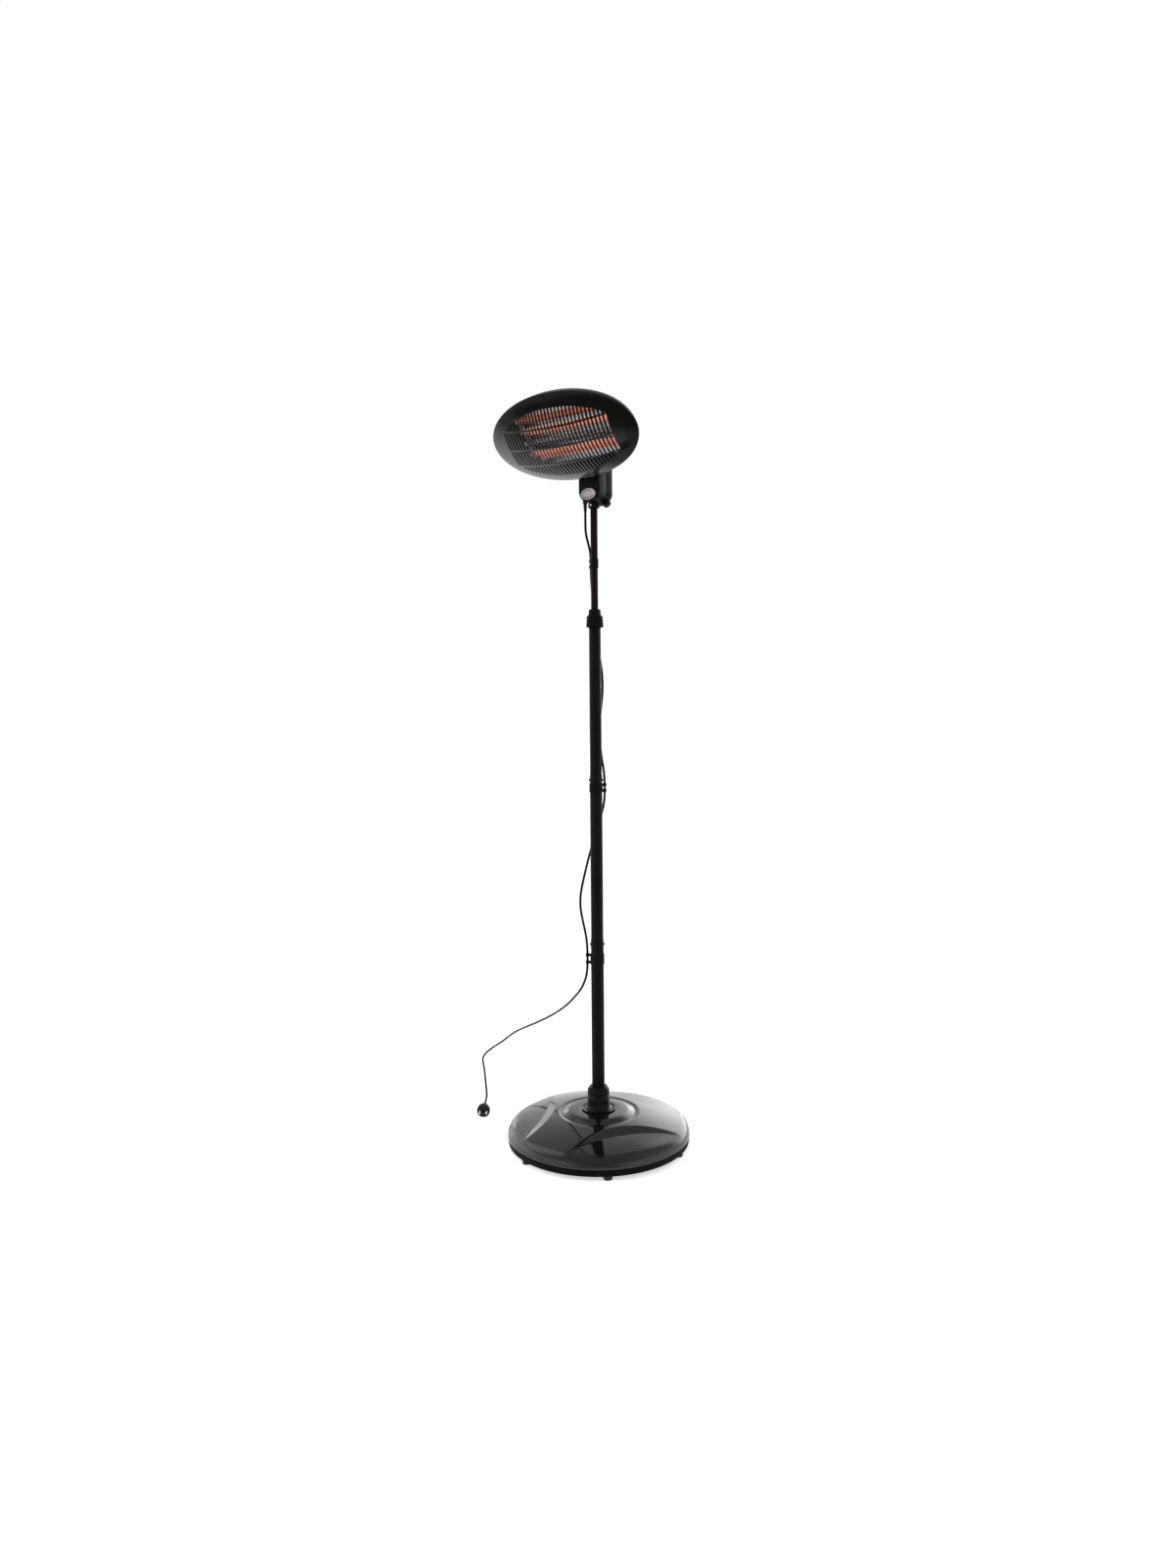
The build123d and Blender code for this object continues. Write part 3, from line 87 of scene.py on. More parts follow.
# ---------------------------------------------------------------- finishes
class NodeBoard:
    """A node tree, with short calls for the nodes that finishes and studio share."""

    def __init__(self, owner: Union[Material, bpy.types.World]) -> None:
        """Take hold of a material's or a world's nodes.

        Args:
            owner: The material or the world.
        """
        owner.use_nodes = True
        self.nodes, self.links = owner.node_tree.nodes, owner.node_tree.links
        self.coords = self.nodes.new("ShaderNodeTexCoord").outputs

    def feed(self, target: Socket, value: Any) -> None:
        """Link an output to an input, or set the input's own value.

        Args:
            target: The input.
            value: An output socket or a plain value.
        """
        if isinstance(value, Socket):
            self.links.new(value, target)
        else:
            target.default_value = value

    def shade(self, inputs: dict[str, Any]) -> None:
        """Feed the Principled shader's inputs, by name."""
        for name, value in inputs.items():
            self.feed(self.nodes["Principled BSDF"].inputs[name], value)

    def node(
        self,
        kind: str,
        inputs: dict[Union[str, int], Any],
        output: Union[str, int] = 0,
        **settings: str,
    ) -> Socket:
        """Add a node.

        Args:
            kind: Its type, without "ShaderNode".
            inputs: A value or a socket for each input, by name or number.
            output: Name or number of the output to return.
            settings: The node's own properties.

        Returns:
            The output's socket.
        """
        node = self.nodes.new(f"ShaderNode{kind}")
        for name, value in settings.items():
            setattr(node, name, value)
        for name, value in inputs.items():
            self.feed(node.inputs[name], value)
        return node.outputs[output]

    def stretched(self, scale: Point) -> Socket:
        """Object coordinates scaled along X, Y and Z."""
        return self.node("Mapping", {"Scale": scale, "Vector": self.coords["Object"]})

    def noise(self, scale: float, detail: float = 3.0, vector: Optional[Socket] = None) -> Socket:
        """A noise pattern over the piece.

        Args:
            scale: Cells per metre.
            detail: Number of finer layers.
            vector: Coordinates to read, or the plain object coordinates.

        Returns:
            The socket with the pattern's value.
        """
        vector = vector or self.coords["Object"]
        return self.node("TexNoise", {"Scale": scale, "Detail": detail, "Vector": vector}, "Fac")

    def ramp(self, value: Socket, start: float, first: Point, stop: float, last: Point) -> Socket:
        """A ramp from one colour to another.

        Args:
            value: The socket to read.
            start: Value up to which the first colour holds.
            first: The first colour.
            stop: Value from which the last colour holds.
            last: The last colour.

        Returns:
            The socket with the colour.
        """
        colour = self.node("ValToRGB", {"Fac": value})
        elements = colour.node.color_ramp.elements
        for element, position, tone in zip(elements, (start, stop), (first, last)):
            element.position = position
            element.color = (*tone, 1.0)
        return colour

    def span(
        self, value: Socket, low: float, high: float, start: float = 0.3, stop: float = 0.7,
        **settings: str,
    ) -> Socket:
        """Map a value onto a range. The default start and stop suit a noise.

        Args:
            value: The socket to read.
            low: Result up to the start.
            high: Result from the stop on.
            start: Value where the range starts.
            stop: Value where it ends.
            settings: The node's own properties.

        Returns:
            The socket with the mapped value.
        """
        ends = {"From Min": start, "From Max": stop, "To Min": low, "To Max": high}
        return self.node("MapRange", {**ends, "Value": value}, "Result", **settings)

    def dot(self, vector: Socket, direction: Sequence[float]) -> Socket:
        """How far a vector reaches along a direction."""
        return self.node("VectorMath", {0: vector, 1: direction}, "Value", operation="DOT_PRODUCT")


class Surface:
    """What a piece is made of. Its material is made on first use."""

    title: str

    def paint(self, board: NodeBoard) -> None:
        """Set up the material's nodes on its board."""
        raise NotImplementedError

    def material(self) -> Material:
        """Build the material, or find it if it is there already.

        Returns:
            The material.
        """
        made = bpy.data.materials.get(self.title)
        if made is None:
            made = bpy.data.materials.new(self.title)
            self.paint(NodeBoard(made))
        return made


@dataclass(frozen=True)
class Finish(Surface):
    """A painted, moulded or metal surface with fine variation and relief."""

    title: str
    colour: Point
    roughness: float
    metallic: float = 0
    specular: float = 0.5
    mottle: float = 0.15  # how far the colour patches stray, as a share
    patch: float = 40  # patches per metre
    grain: float = 1500  # grains per metre
    depth: float = 5e-5  # of the grain, in metres
    strength: float = 0.3  # of the grain
    spread: float = 0.06  # how far the roughness strays
    stretch: Point = (1, 1, 1)

    def paint(self, board: NodeBoard) -> None:
        """Set up colour patches, uneven gloss and a fine grain.

        Args:
            board: The material's board.
        """
        where = board.stretched(self.stretch)
        dark = [channel * (1.0 - self.mottle) for channel in self.colour]
        light = [min(1.0, channel * (1.0 + self.mottle)) for channel in self.colour]
        patches = board.noise(self.patch, 4, where)
        wear = board.noise(self.patch * WEAR_PER_PATCH, 2, where)
        smoothest = max(LEAST_ROUGHNESS, self.roughness - self.spread)
        grain = board.noise(self.grain, 2, where)
        relief = {"Distance": self.depth, "Strength": self.strength, "Height": grain}
        board.shade({
            "Metallic": self.metallic,
            "Specular IOR Level": self.specular,
            "Base Color": board.ramp(patches, 0.3, dark, 0.7, light),
            "Roughness": board.span(wear, smoothest, self.roughness + self.spread),
            "Normal": board.node("Bump", relief),
        })


@dataclass(frozen=True)
class QuartzFinish(Surface):
    """Clear or glowing quartz."""

    glow: Glow

    @property
    def title(self) -> str:
        """The material's name."""
        return f"quartz_{self.glow.name.lower()}"

    def paint(self, board: NodeBoard) -> None:
        """Set up the quartz for one state of its tube.

        Args:
            board: The material's board.
        """
        strength, hot = self.glow.value
        along = board.stretched((0.25, 1.0, 1.0))
        board.shade({
            "IOR": 1.46,
            "Transmission Weight": 0.75,
            "Roughness": board.span(board.noise(160.0, 3.0, along), 0.12, 0.22),
            # when the tube glows, the glass is tinted peach as painted glow from the coil; unlit,
            # it keeps its own pale grey
            "Base Color": (1.0, 0.62, 0.5, 1.0) if strength else (0.86, 0.83, 0.84, 1.0),
        })
        if strength:
            cool = [channel * 0.72 for channel in hot]
            colour = board.ramp(board.noise(90.0, 2.0, along), 0.35, cool, 0.65, hot)
            board.shade({"Emission Color": colour, "Emission Strength": strength})


@dataclass(frozen=True)
class CoilFinish(Surface):
    """The heating wire, cold or glowing."""

    glow: Glow

    @property
    def title(self) -> str:
        """The material's name."""
        return f"coil_{self.glow.name.lower()}"

    def paint(self, board: NodeBoard) -> None:
        """Set up the wire for one state of its tube.

        Args:
            board: The material's board.
        """
        strength, cool = self.glow.value
        board.shade({
            "Metallic": 0.9,
            "Base Color": (0.42, 0.38, 0.36, 1.0),
            "Roughness": board.span(board.noise(300.0), 0.35, 0.5),
        })
        if strength:
            hot = [min(1.0, channel * 1.1 + 0.05) for channel in cool]
            colour = board.ramp(board.noise(60.0, 2.0), 0.35, cool, 0.65, hot)
            board.shade({"Emission Color": colour, "Emission Strength": strength * 1.3})


ENAMEL = Finish(
    "gloss_black_enamel", (0.005, 0.0045, 0.0055), 0.06, mottle=0.12, patch=9, grain=260,
    depth=1e-5, strength=0.08, spread=0.02,
)
RIM_BLACK = Finish(
    "matt_black_rim", (0.0016, 0.0016, 0.0016), 0.7, specular=0.05, mottle=0.12, patch=20,
    grain=900, depth=3e-5, strength=0.2,
)
HEAD_PAINT = Finish(
    "semi_gloss_black_paint", (0.004, 0.004, 0.0037), 0.15, specular=0.12, mottle=0.10, patch=14,
    grain=900, depth=2e-5, strength=0.15, spread=0.03,
)
GUARD_PAINT = replace(HEAD_PAINT, title="guard_black_paint", roughness=0.17)
POWDER_COAT = Finish(
    "satin_powder_coat", (0.0062, 0.0045, 0.0036), 0.45, specular=0.06, mottle=0.18, patch=24,
    grain=1400,
)
MOULDING = Finish(
    "textured_black_moulding", (0.0055, 0.005, 0.005), 0.5, specular=0.05, mottle=0.12, patch=50,
    grain=2200, depth=6e-5, strength=0.35,
)
GLOSS_MOULDING = Finish(
    "polished_black_moulding", (0.005, 0.0048, 0.0048), 0.14, specular=0.09, mottle=0.1,
    grain=1200, depth=2e-5, strength=0.1,
)
RUBBER = Finish(
    "black_rubber", (0.006, 0.0058, 0.0056), 0.6, specular=0.25, mottle=0.2, patch=60, grain=900,
    depth=8e-5, strength=0.4,
)
LEAD_SHEATH = Finish(
    "lead_sheath", (0.003, 0.0028, 0.0028), 0.5, specular=0.08, patch=30, grain=1300, depth=6e-5,
)
ZINC = Finish(
    "zinc_plating", (0.55, 0.55, 0.56), 0.34, metallic=1, mottle=0.14, patch=120, grain=1800,
    depth=2e-5,
)
BADGE_METAL = Finish(
    "satin_silver", (0.36, 0.335, 0.345), 0.38, metallic=0.75, mottle=0.10, patch=300, grain=2600,
    depth=2e-5,
)
REFLECTOR_METAL = Finish(
    "bright_aluminium", (0.86, 0.86, 0.87), 0.20, metallic=1, mottle=0.06, patch=30, grain=500,
    depth=4e-5, strength=0.35, stretch=(0.06, 1.0, 1.0),
)
CERAMIC = Finish(
    "white_ceramic", (0.78, 0.76, 0.71), 0.6, mottle=0.08, patch=200, depth=8e-5,
)
PALE_MOULDING = Finish(
    "pale_moulding", (0.70, 0.69, 0.64), 0.4, mottle=0.05, patch=100, depth=4e-5, strength=0.25,
)
CEMENT = Finish(
    "cast_cement", (0.36, 0.35, 0.33), 0.9, mottle=0.3, patch=70, grain=400, depth=0.0005,
    strength=0.6,
)
PIN_METAL = Finish(
    "nickel_plating", (0.70, 0.67, 0.62), 0.22, metallic=1, mottle=0.08, patch=200, grain=2000,
    depth=1e-5, strength=0.2,
)


# ---------------------------------------------------------------- modelling
class Bench:
    """Modelling steps that the sub-assemblies share. Sizes are in millimetres."""

    @staticmethod
    def clear() -> None:
        """Leave edit mode and deselect everything."""
        if bpy.context.mode != "OBJECT":
            bpy.ops.object.mode_set(mode="OBJECT")
        bpy.ops.object.select_all(action="DESELECT")

    @staticmethod
    def take(piece: Piece) -> None:
        """Select one object alone and make it active.

        Args:
            piece: The object.
        """
        Bench.clear()
        piece.select_set(True)
        bpy.context.view_layer.objects.active = piece

    @staticmethod
    def named(name: str) -> Piece:
        """Name the active object and its mesh.

        Args:
            name: The new name.

        Returns:
            The active object.
        """
        piece = bpy.context.object
        piece.name = name
        piece.data.name = name
        return piece

    @staticmethod
    def lathe(name: str, profile: Sequence[Pair], segments: int = 96) -> Piece:
        """Turn a profile about Z, ring by ring.

        Args:
            name: The piece's name.
            profile: Radius and height of each ring; the last joins the first.
            segments: Number of sides.

        Returns:
            The turned piece.
        """
        Bench.clear()
        radius, height = profile[0]
        bpy.ops.mesh.primitive_circle_add(
            vertices=segments, radius=radius * MM, location=(0, 0, height * MM)
        )
        piece = Bench.named(name)
        bpy.ops.object.transform_apply(location=True, rotation=False, scale=False)
        bpy.ops.object.mode_set(mode="EDIT")
        bpy.ops.mesh.select_mode(type="VERT")
        bpy.ops.mesh.select_all(action="SELECT")
        for (from_r, from_z), (to_r, to_z) in zip(profile, [*profile[1:], profile[0]]):
            bpy.ops.mesh.extrude_region_move(
                TRANSFORM_OT_translate={"value": (0, 0, (to_z - from_z) * MM)}
            )
            Bench.widen(to_r / from_r, to_r / from_r)
        bpy.ops.mesh.select_all(action="SELECT")
        bpy.ops.mesh.remove_doubles(threshold=WELD)
        bpy.ops.mesh.normals_make_consistent(inside=False)
        bpy.ops.object.mode_set(mode="OBJECT")
        return piece

    @staticmethod
    def widen(across: float, up: float = 1.0) -> None:
        """Scale what is selected about the origin, along X and Y."""
        bpy.ops.transform.resize(value=(across, up, 1), center_override=(0, 0, 0))

    @staticmethod
    def make_oval(piece: Piece, factor: float) -> None:
        """Widen a turned piece along X.

        Args:
            piece: The piece.
            factor: How many times wider it becomes.
        """
        Bench.take(piece)
        Bench.widen(factor)
        bpy.ops.object.transform_apply(location=False, rotation=False, scale=True)

    @staticmethod
    def notch(
        piece: Piece, count: int, share: Pair, reach: Pair, rise: Pair,
        border: float, depth: float, slope: float = 0.0,
    ) -> None:
        """Press evenly spaced notches into a turned piece.

        Args:
            piece: A piece turned about Z.
            count: Number of notches.
            share: Where a notch starts and ends, as shares of the pitch.
            reach: Least and greatest distance from Z of the middles of its faces.
            rise: Their least and greatest height.
            border: Width of the step round a notch.
            depth: Depth of a notch.
            slope: Least sideways part of the faces' normals.
        """
        Bench.take(piece)
        bpy.ops.object.mode_set(mode="EDIT")
        bpy.ops.mesh.select_mode(type="FACE")
        bpy.ops.mesh.select_all(action="DESELECT")
        mesh = bmesh.from_edit_mesh(piece.data)
        pitch = 2 * math.pi / count
        for face in mesh.faces:
            middle = face.calc_center_median()
            face.select = (
                share[0] * pitch < math.atan2(middle.y, middle.x) % pitch < share[1] * pitch
                and reach[0] * MM < middle.xy.length < reach[1] * MM
                and rise[0] * MM < middle.z < rise[1] * MM
                and face.normal.xy.length >= slope
            )
        bmesh.update_edit_mesh(piece.data)
        bpy.ops.mesh.inset(thickness=border * MM, use_individual=False)
        bpy.ops.transform.shrink_fatten(value=-depth * MM)
        bpy.ops.object.mode_set(mode="OBJECT")

    @staticmethod
    def soften(piece: Piece, width: float = 0.0, angle: float = 32.0, steps: int = 2) -> Piece:
        """Round the sharp edges and shade the rest smooth.

        Args:
            piece: The piece.
            width: Width of the rounding; 0 leaves the edges sharp.
            angle: Edges sharper than this are rounded, in degrees.
            steps: Faces across a rounding.

        Returns:
            The same piece.
        """
        Bench.take(piece)
        if width > 0:
            bevel = piece.modifiers.new("edges", "BEVEL")
            bevel.limit_method = "ANGLE"
            bevel.angle_limit = math.radians(angle)
            bevel.width = width * MM
            bevel.segments = steps
            bpy.ops.object.modifier_apply(modifier=bevel.name)
        bpy.ops.object.shade_smooth_by_angle(angle=math.radians(angle + SMOOTH_MARGIN))
        return piece

    @staticmethod
    def settle(piece: Piece, place: Matrix) -> Piece:
        """Move a piece to its place in the frame and put the place into its mesh.

        Args:
            piece: A piece modelled about the origin.
            place: Where its own axes go, in metres.

        Returns:
            The same piece, its object at the origin.
        """
        Bench.take(piece)
        piece.matrix_world = place
        bpy.ops.object.transform_apply(location=True, rotation=True, scale=True)
        return piece

    @staticmethod
    def aimed(place: Vector, way: Vector) -> Matrix:
        """The place, in metres, of a piece whose own Z points a given way."""
        return Matrix.Translation(place) @ way.to_track_quat("Z", "Y").to_matrix().to_4x4()

    @staticmethod
    def joined(pieces: Sequence[Piece], name: str) -> Piece:
        """Make one object of several.

        Args:
            pieces: The objects; the first keeps its data.
            name: Name of the result.

        Returns:
            The joined object.
        """
        Bench.take(pieces[0])
        for piece in pieces[1:]:
            piece.select_set(True)
        bpy.ops.object.join()
        return Bench.named(name)

    @staticmethod
    def wire(
        name: str, points: Sequence[Point], radius: float, kind: str = "NURBS", rounding: int = 6
    ) -> Piece:
        """Lay a round wire along a line of points.

        Args:
            name: The wire's name.
            points: The line's points.
            radius: The wire's radius; 0 gives the bare line.
            kind: NURBS for a smooth line with closed ends, POLY for a straight-sided open one.
            rounding: Fineness of the wire's section.

        Returns:
            The curve object.
        """
        curve = bpy.data.curves.new(name, "CURVE")
        curve.dimensions = "3D"
        curve.resolution_u = 10
        curve.bevel_depth = radius * MM
        curve.bevel_resolution = rounding
        curve.use_fill_caps = kind == "NURBS" and radius > 0
        spline = curve.splines.new(kind)
        spline.points.add(len(points) - 1)
        for point, place in zip(spline.points, points):
            point.co = (*(value * MM for value in place), 1.0)
        if kind == "NURBS":
            spline.order_u = 3
            spline.use_endpoint_u = True
        piece = bpy.data.objects.new(name, curve)
        bpy.context.scene.collection.objects.link(piece)
        return piece

    @staticmethod
    def as_mesh(wire: Piece) -> Piece:
        """Turn a curve into a mesh of the same name.

        Args:
            wire: The curve object.

        Returns:
            The mesh object.
        """
        name = wire.name
        Bench.take(wire)
        bpy.ops.object.convert(target="MESH")
        return Bench.named(name)

    @staticmethod
    def from_node(node: str, name: str, width: float, angle: float = 32.0) -> Piece:
        """Copy a CAD node, merge its triangles into faces and round its edges.

        Args:
            node: The CAD node's name.
            name: Name of the new piece.
            width: Width of the rounding.
            angle: Edges sharper than this are rounded.

        Returns:
            The new piece.
        """
        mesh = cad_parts[node].data.copy()
        mesh.materials.clear()
        piece = bpy.data.objects.new(name, mesh)
        mesh.name = name
        bpy.context.scene.collection.objects.link(piece)
        Bench.take(piece)
        bpy.ops.object.mode_set(mode="EDIT")
        bpy.ops.mesh.select_all(action="SELECT")
        bpy.ops.mesh.remove_doubles(threshold=WELD)
        bpy.ops.mesh.dissolve_limited(angle_limit=FLAT_ANGLE)
        bpy.ops.object.mode_set(mode="OBJECT")
        return Bench.soften(piece, width, angle)

    @staticmethod
    def paint(piece: Piece, surface: Surface) -> None:
        """Give a piece one surface all over."""
        piece.data.materials.clear()
        piece.data.materials.append(surface.material())

    @staticmethod
    def dress(piece: Piece, body: Body, surface: Surface, slot: str, *nodes: str) -> None:
        """Give a piece its surface and its body, and hide the CAD nodes that it stands for.

        Args:
            piece: The finished piece.
            body: The body it rides on.
            surface: Its surface.
            slot: Not used.
            nodes: CAD nodes that it replaces.
        """
        Bench.paint(piece, surface)
        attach(piece, body.value)
        if nodes:
            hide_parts(*nodes)
        log.info("%s rides on %s", piece.name, body.value)

    @staticmethod
    def from_nodes(body: Body, suffix: str, *rows: tuple[str, float, Surface, str]) -> None:
        """Dress pieces straight from their solids.

        Args:
            body: The body they ride on.
            suffix: End of their names, after the node's.
            rows: Node, width of the rounding, surface and slot of each.
        """
        for node, width, surface, slot in rows:
            piece = Bench.from_node(node, f"{node}_{suffix}", width)
            Bench.dress(piece, body, surface, slot, node)


def arc(centre: Pair, radius: float, start: float, end: float, steps: int) -> list[Pair]:
    """Points along an arc of a profile.

    Args:
        centre: The arc's centre, as radius and height.
        radius: The arc's radius.
        start: Angle of the first point, in degrees.
        end: Angle of the last point, in degrees.
        steps: Number of runs.

    Returns:
        The points, as radius and height.
    """
    angles = [math.radians(start + (end - start) * i / steps) for i in range(steps + 1)]
    x, y = centre
    return [(x + radius * math.cos(angle), y + radius * math.sin(angle)) for angle in angles]


def circle_through(a: Vector, b: Vector, c: Vector) -> tuple[Vector, float]:
    """The circle through three points of a plane.

    Args:
        a: First point.
        b: Second point.
        c: Third point.

    Returns:
        Its centre and radius.
    """
    d = 2 * (a.x * (b.y - c.y) + b.x * (c.y - a.y) + c.x * (a.y - b.y))
    aa, bb, cc = a.length_squared, b.length_squared, c.length_squared
    x = (aa * (b.y - c.y) + bb * (c.y - a.y) + cc * (a.y - b.y)) / d
    y = (aa * (c.x - b.x) + bb * (a.x - c.x) + cc * (b.x - a.x)) / d
    centre = Vector((x, y))
    return centre, (a - centre).length


def in_plan(radius: float, degrees: float) -> Vector:
    """A point of the plan, from its radius in millimetres and its angle."""
    angle = math.radians(degrees)
    return Vector((radius * math.cos(angle), radius * math.sin(angle)))


# ---------------------------------------------------------------- base
@dataclass
class Base:
    """The round base: cover with its pressed swirl, feet, socket and cap nut."""

    radius: float = 250
    floor_gap: float = 12
    rim_top: float = 31
    rim_lean: float = 3
    wall: float = 1.2
    shoulder: Pair = (226, 61)
    dome_middle: Pair = (165, 76)
    ring_foot: Pair = (98, 86)
    ring_top: Pair = (80, 94.5)
    hole: float = 24.4
    foot_circle: float = 232
    foot_count: int = 6
    first_foot: float = 7.5
    swirl_rise: float = 3
    swirl_fade: float = 14
    swirl_drop: float = 8.5
    swirl_recovery: float = 0.7
    swirl_taper: float = 0.8
    swirl_turns: int = 3
    # reach of the swirl's tips, and of the middles of its crest and foot arcs
    swirl_tip: float = 246
    swirl_crest: float = 122
    swirl_foot: float = 149
    swirl_middle: float = 323.5
    swirl_half_angle: float = 43.5

    def __post_init__(self) -> None:
        """Work out the circles of the swirl's crest and foot."""
        tips = [in_plan(self.swirl_tip, side * self.swirl_half_angle) for side in (-1, 1)]
        self.crest_arc, self.foot_arc = (
            circle_through(tips[0], in_plan(reach, 0), tips[1])
            for reach in (self.swirl_crest, self.swirl_foot)
        )

    def dome_points(self, steps: int) -> list[Pair]:
        """Points of the dome from the rim up to the ring.

        Args:
            steps: Number of runs.

        Returns:
            Radius and height of each point.
        """
        rim = Vector((self.radius, self.rim_top))
        end = Vector(self.shoulder)
        centre, radius = circle_through(end, Vector(self.dome_middle), Vector(self.ring_foot))
        outward = (end - centre).normalized()
        across = rim - end
        bend = -across.length_squared / (2 * across.dot(outward))
        points = []
        for middle, r, start, stop, runs in (
            (end - outward * bend, bend, rim, end, steps // 3),
            (centre, radius, end, Vector(self.ring_foot), steps - steps // 3),
        ):
            first = math.degrees(math.atan2(start.y - middle.y, start.x - middle.x))
            last = math.degrees(math.atan2(stop.y - middle.y, stop.x - middle.x))
            points += arc((middle.x, middle.y), r, first, last, runs)[1 if points else 0:]
        return points

    def swirl_shift(self, x: float, y: float, height: float) -> float:
        """How far the pressed swirl moves the cover's skin up, in millimetres.

        Args:
            x: Place in plan, in millimetres.
            y: Place in plan, in millimetres.
            height: Height of the skin there.

        Returns:
            The shift, negative downward.
        """
        radius = math.hypot(x, y)
        rim_fade = min(1.0, max(0.0, (height - self.rim_top) / (self.shoulder[1] - self.rim_top)))
        step = min(1.0, max(0.0, (radius - self.ring_foot[0] - 1) / self.swirl_fade))
        shift = self.swirl_rise * (step * step * (3.0 - 2.0 * step))
        half, pitch = self.swirl_half_angle, 360 / self.swirl_turns
        turned = math.degrees(math.atan2(y, x)) - self.swirl_middle
        turned = (turned + pitch / 2) % pitch - pitch / 2
        place = in_plan(radius, turned)
        inside_crest, inside_foot = (
            reach - (place - centre).length for centre, reach in (self.crest_arc, self.foot_arc)
        )
        if inside_crest > 0 and abs(turned) < half:
            if inside_foot > 0:
                run = self.shoulder[0] - self.swirl_foot
                across = 1.0 - self.swirl_recovery * min(1.0, inside_foot / run)
            else:
                across = inside_crest / (inside_crest - inside_foot)
            taper = math.cos(math.radians(90.0 * turned / half)) ** self.swirl_taper
            shift -= self.swirl_drop * taper * across
        return shift * rim_fade

    def cover(self) -> None:
        """Model the domed cover, with its rolled rim, ring and swirl."""
        foot_r, foot_z = self.ring_foot
        top_r, top_z = self.ring_top
        edge, low, under = self.radius - self.rim_lean, self.floor_gap, top_z - self.wall
        cover = Bench.lathe("cover_skin", [
            (edge - self.wall, low), (edge - 0.5, low), (edge + 0.1, low + 0.6),
            (self.radius - 0.1, self.rim_top - 0.8), *self.dome_points(96)[:-1],
            (foot_r + 0.6, foot_z + 0.1), (foot_r - 1.2, foot_z + 0.75),
            (foot_r - 5, foot_z + 2.7), (foot_r - 9, foot_z + 4.75),
            (top_r + 3.6, top_z - 1.35), (top_r + 1.2, top_z - 0.45), (top_r - 1.6, top_z),
            (top_r - 24, top_z), (self.hole + 0.6, top_z), (self.hole, top_z - 0.6),
            (self.hole, under), (top_r - 1, under),
            *((r, z - self.wall) for r, z in reversed(self.dome_points(24)[1:])),
            (self.radius - self.wall, self.rim_top - self.wall),
        ], 288)
        for vertex in cover.data.vertices:
            x, y = vertex.co.x / MM, vertex.co.y / MM
            if foot_r < math.hypot(x, y):
                vertex.co.z += self.swirl_shift(x, y, vertex.co.z / MM) * MM
        cover.data.update()
        Bench.soften(cover, angle=50)
        Bench.dress(cover, Body.STAND, ENAMEL, "base_black", "base_cover")
        cover.data.materials.append(RIM_BLACK.material())
        for face in cover.data.polygons:
            if face.center.z < (self.rim_top - 0.3) * MM:
                face.material_index = 1

    def feet(self) -> None:
        """Model the rubber feet, evenly round the rim."""
        profile = [
            (4.6, 4.8), (4.6, 0.4), (5, 0), (10.4, 0), (11.4, 0.5), (11.9, 1.6),
            (11.9, 10.6), (11, 12), (2.2, 12), (2.2, 4.8),
        ]
        feet = []
        for number in range(self.foot_count):
            foot = Bench.lathe(f"foot_{number}", profile, 36)
            turned = self.first_foot + 360 / self.foot_count * number
            spot = in_plan(self.foot_circle, turned) * MM
            feet.append(Bench.settle(foot, Matrix.Translation((*spot, 0))))
        whole = Bench.soften(Bench.joined(feet, "rubber_feet"), 0.3)
        Bench.dress(whole, Body.STAND, RUBBER, "feet_rubber", "base_feet")

    def socket(self) -> None:
        """Model the moulded socket and its cap nut."""
        socket = Bench.lathe("pole_socket_body", [
            (17.7, 44), (24, 44), (24, 94.6), (45.6, 94.6), (46.5, 95.3), (46.5, 97.4),
            (45.6, 98.4), (40, 97.6), (37, 97.2), (33.6, 98.4), (31.4, 101), (30.6, 104.6),
            (30.5, 120), (30.5, 140.6), (30, 142.2), (28.8, 142.9), (17.7, 142.9),
        ])
        cap = Bench.lathe("socket_cap_nut", [
            (17.7, 143), (29.2, 143), (29.8, 143.6), (29.8, 148.6),
            *arc((23.6, 148.4), 6.2, 6, 76, 7), (24.6, 154.6), (24.6, 157.2),
            (24, 158), (18.2, 158), (17.7, 157.4),
        ], 144)
        Bench.notch(cap, 12, (0.3, 0.7), (26.5, 30.2), (145.5, 160), 0.3, 1.3, slope=0.3)
        for piece, node in ((socket, "pole_socket"), (cap, "pole_socket_cap")):
            Bench.soften(piece, angle=34)
            Bench.dress(piece, Body.STAND, GLOSS_MOULDING, "moulding_black", node)

    def build(self) -> None:
        """Build the base."""
        self.cover()
        self.feet()
        self.socket()


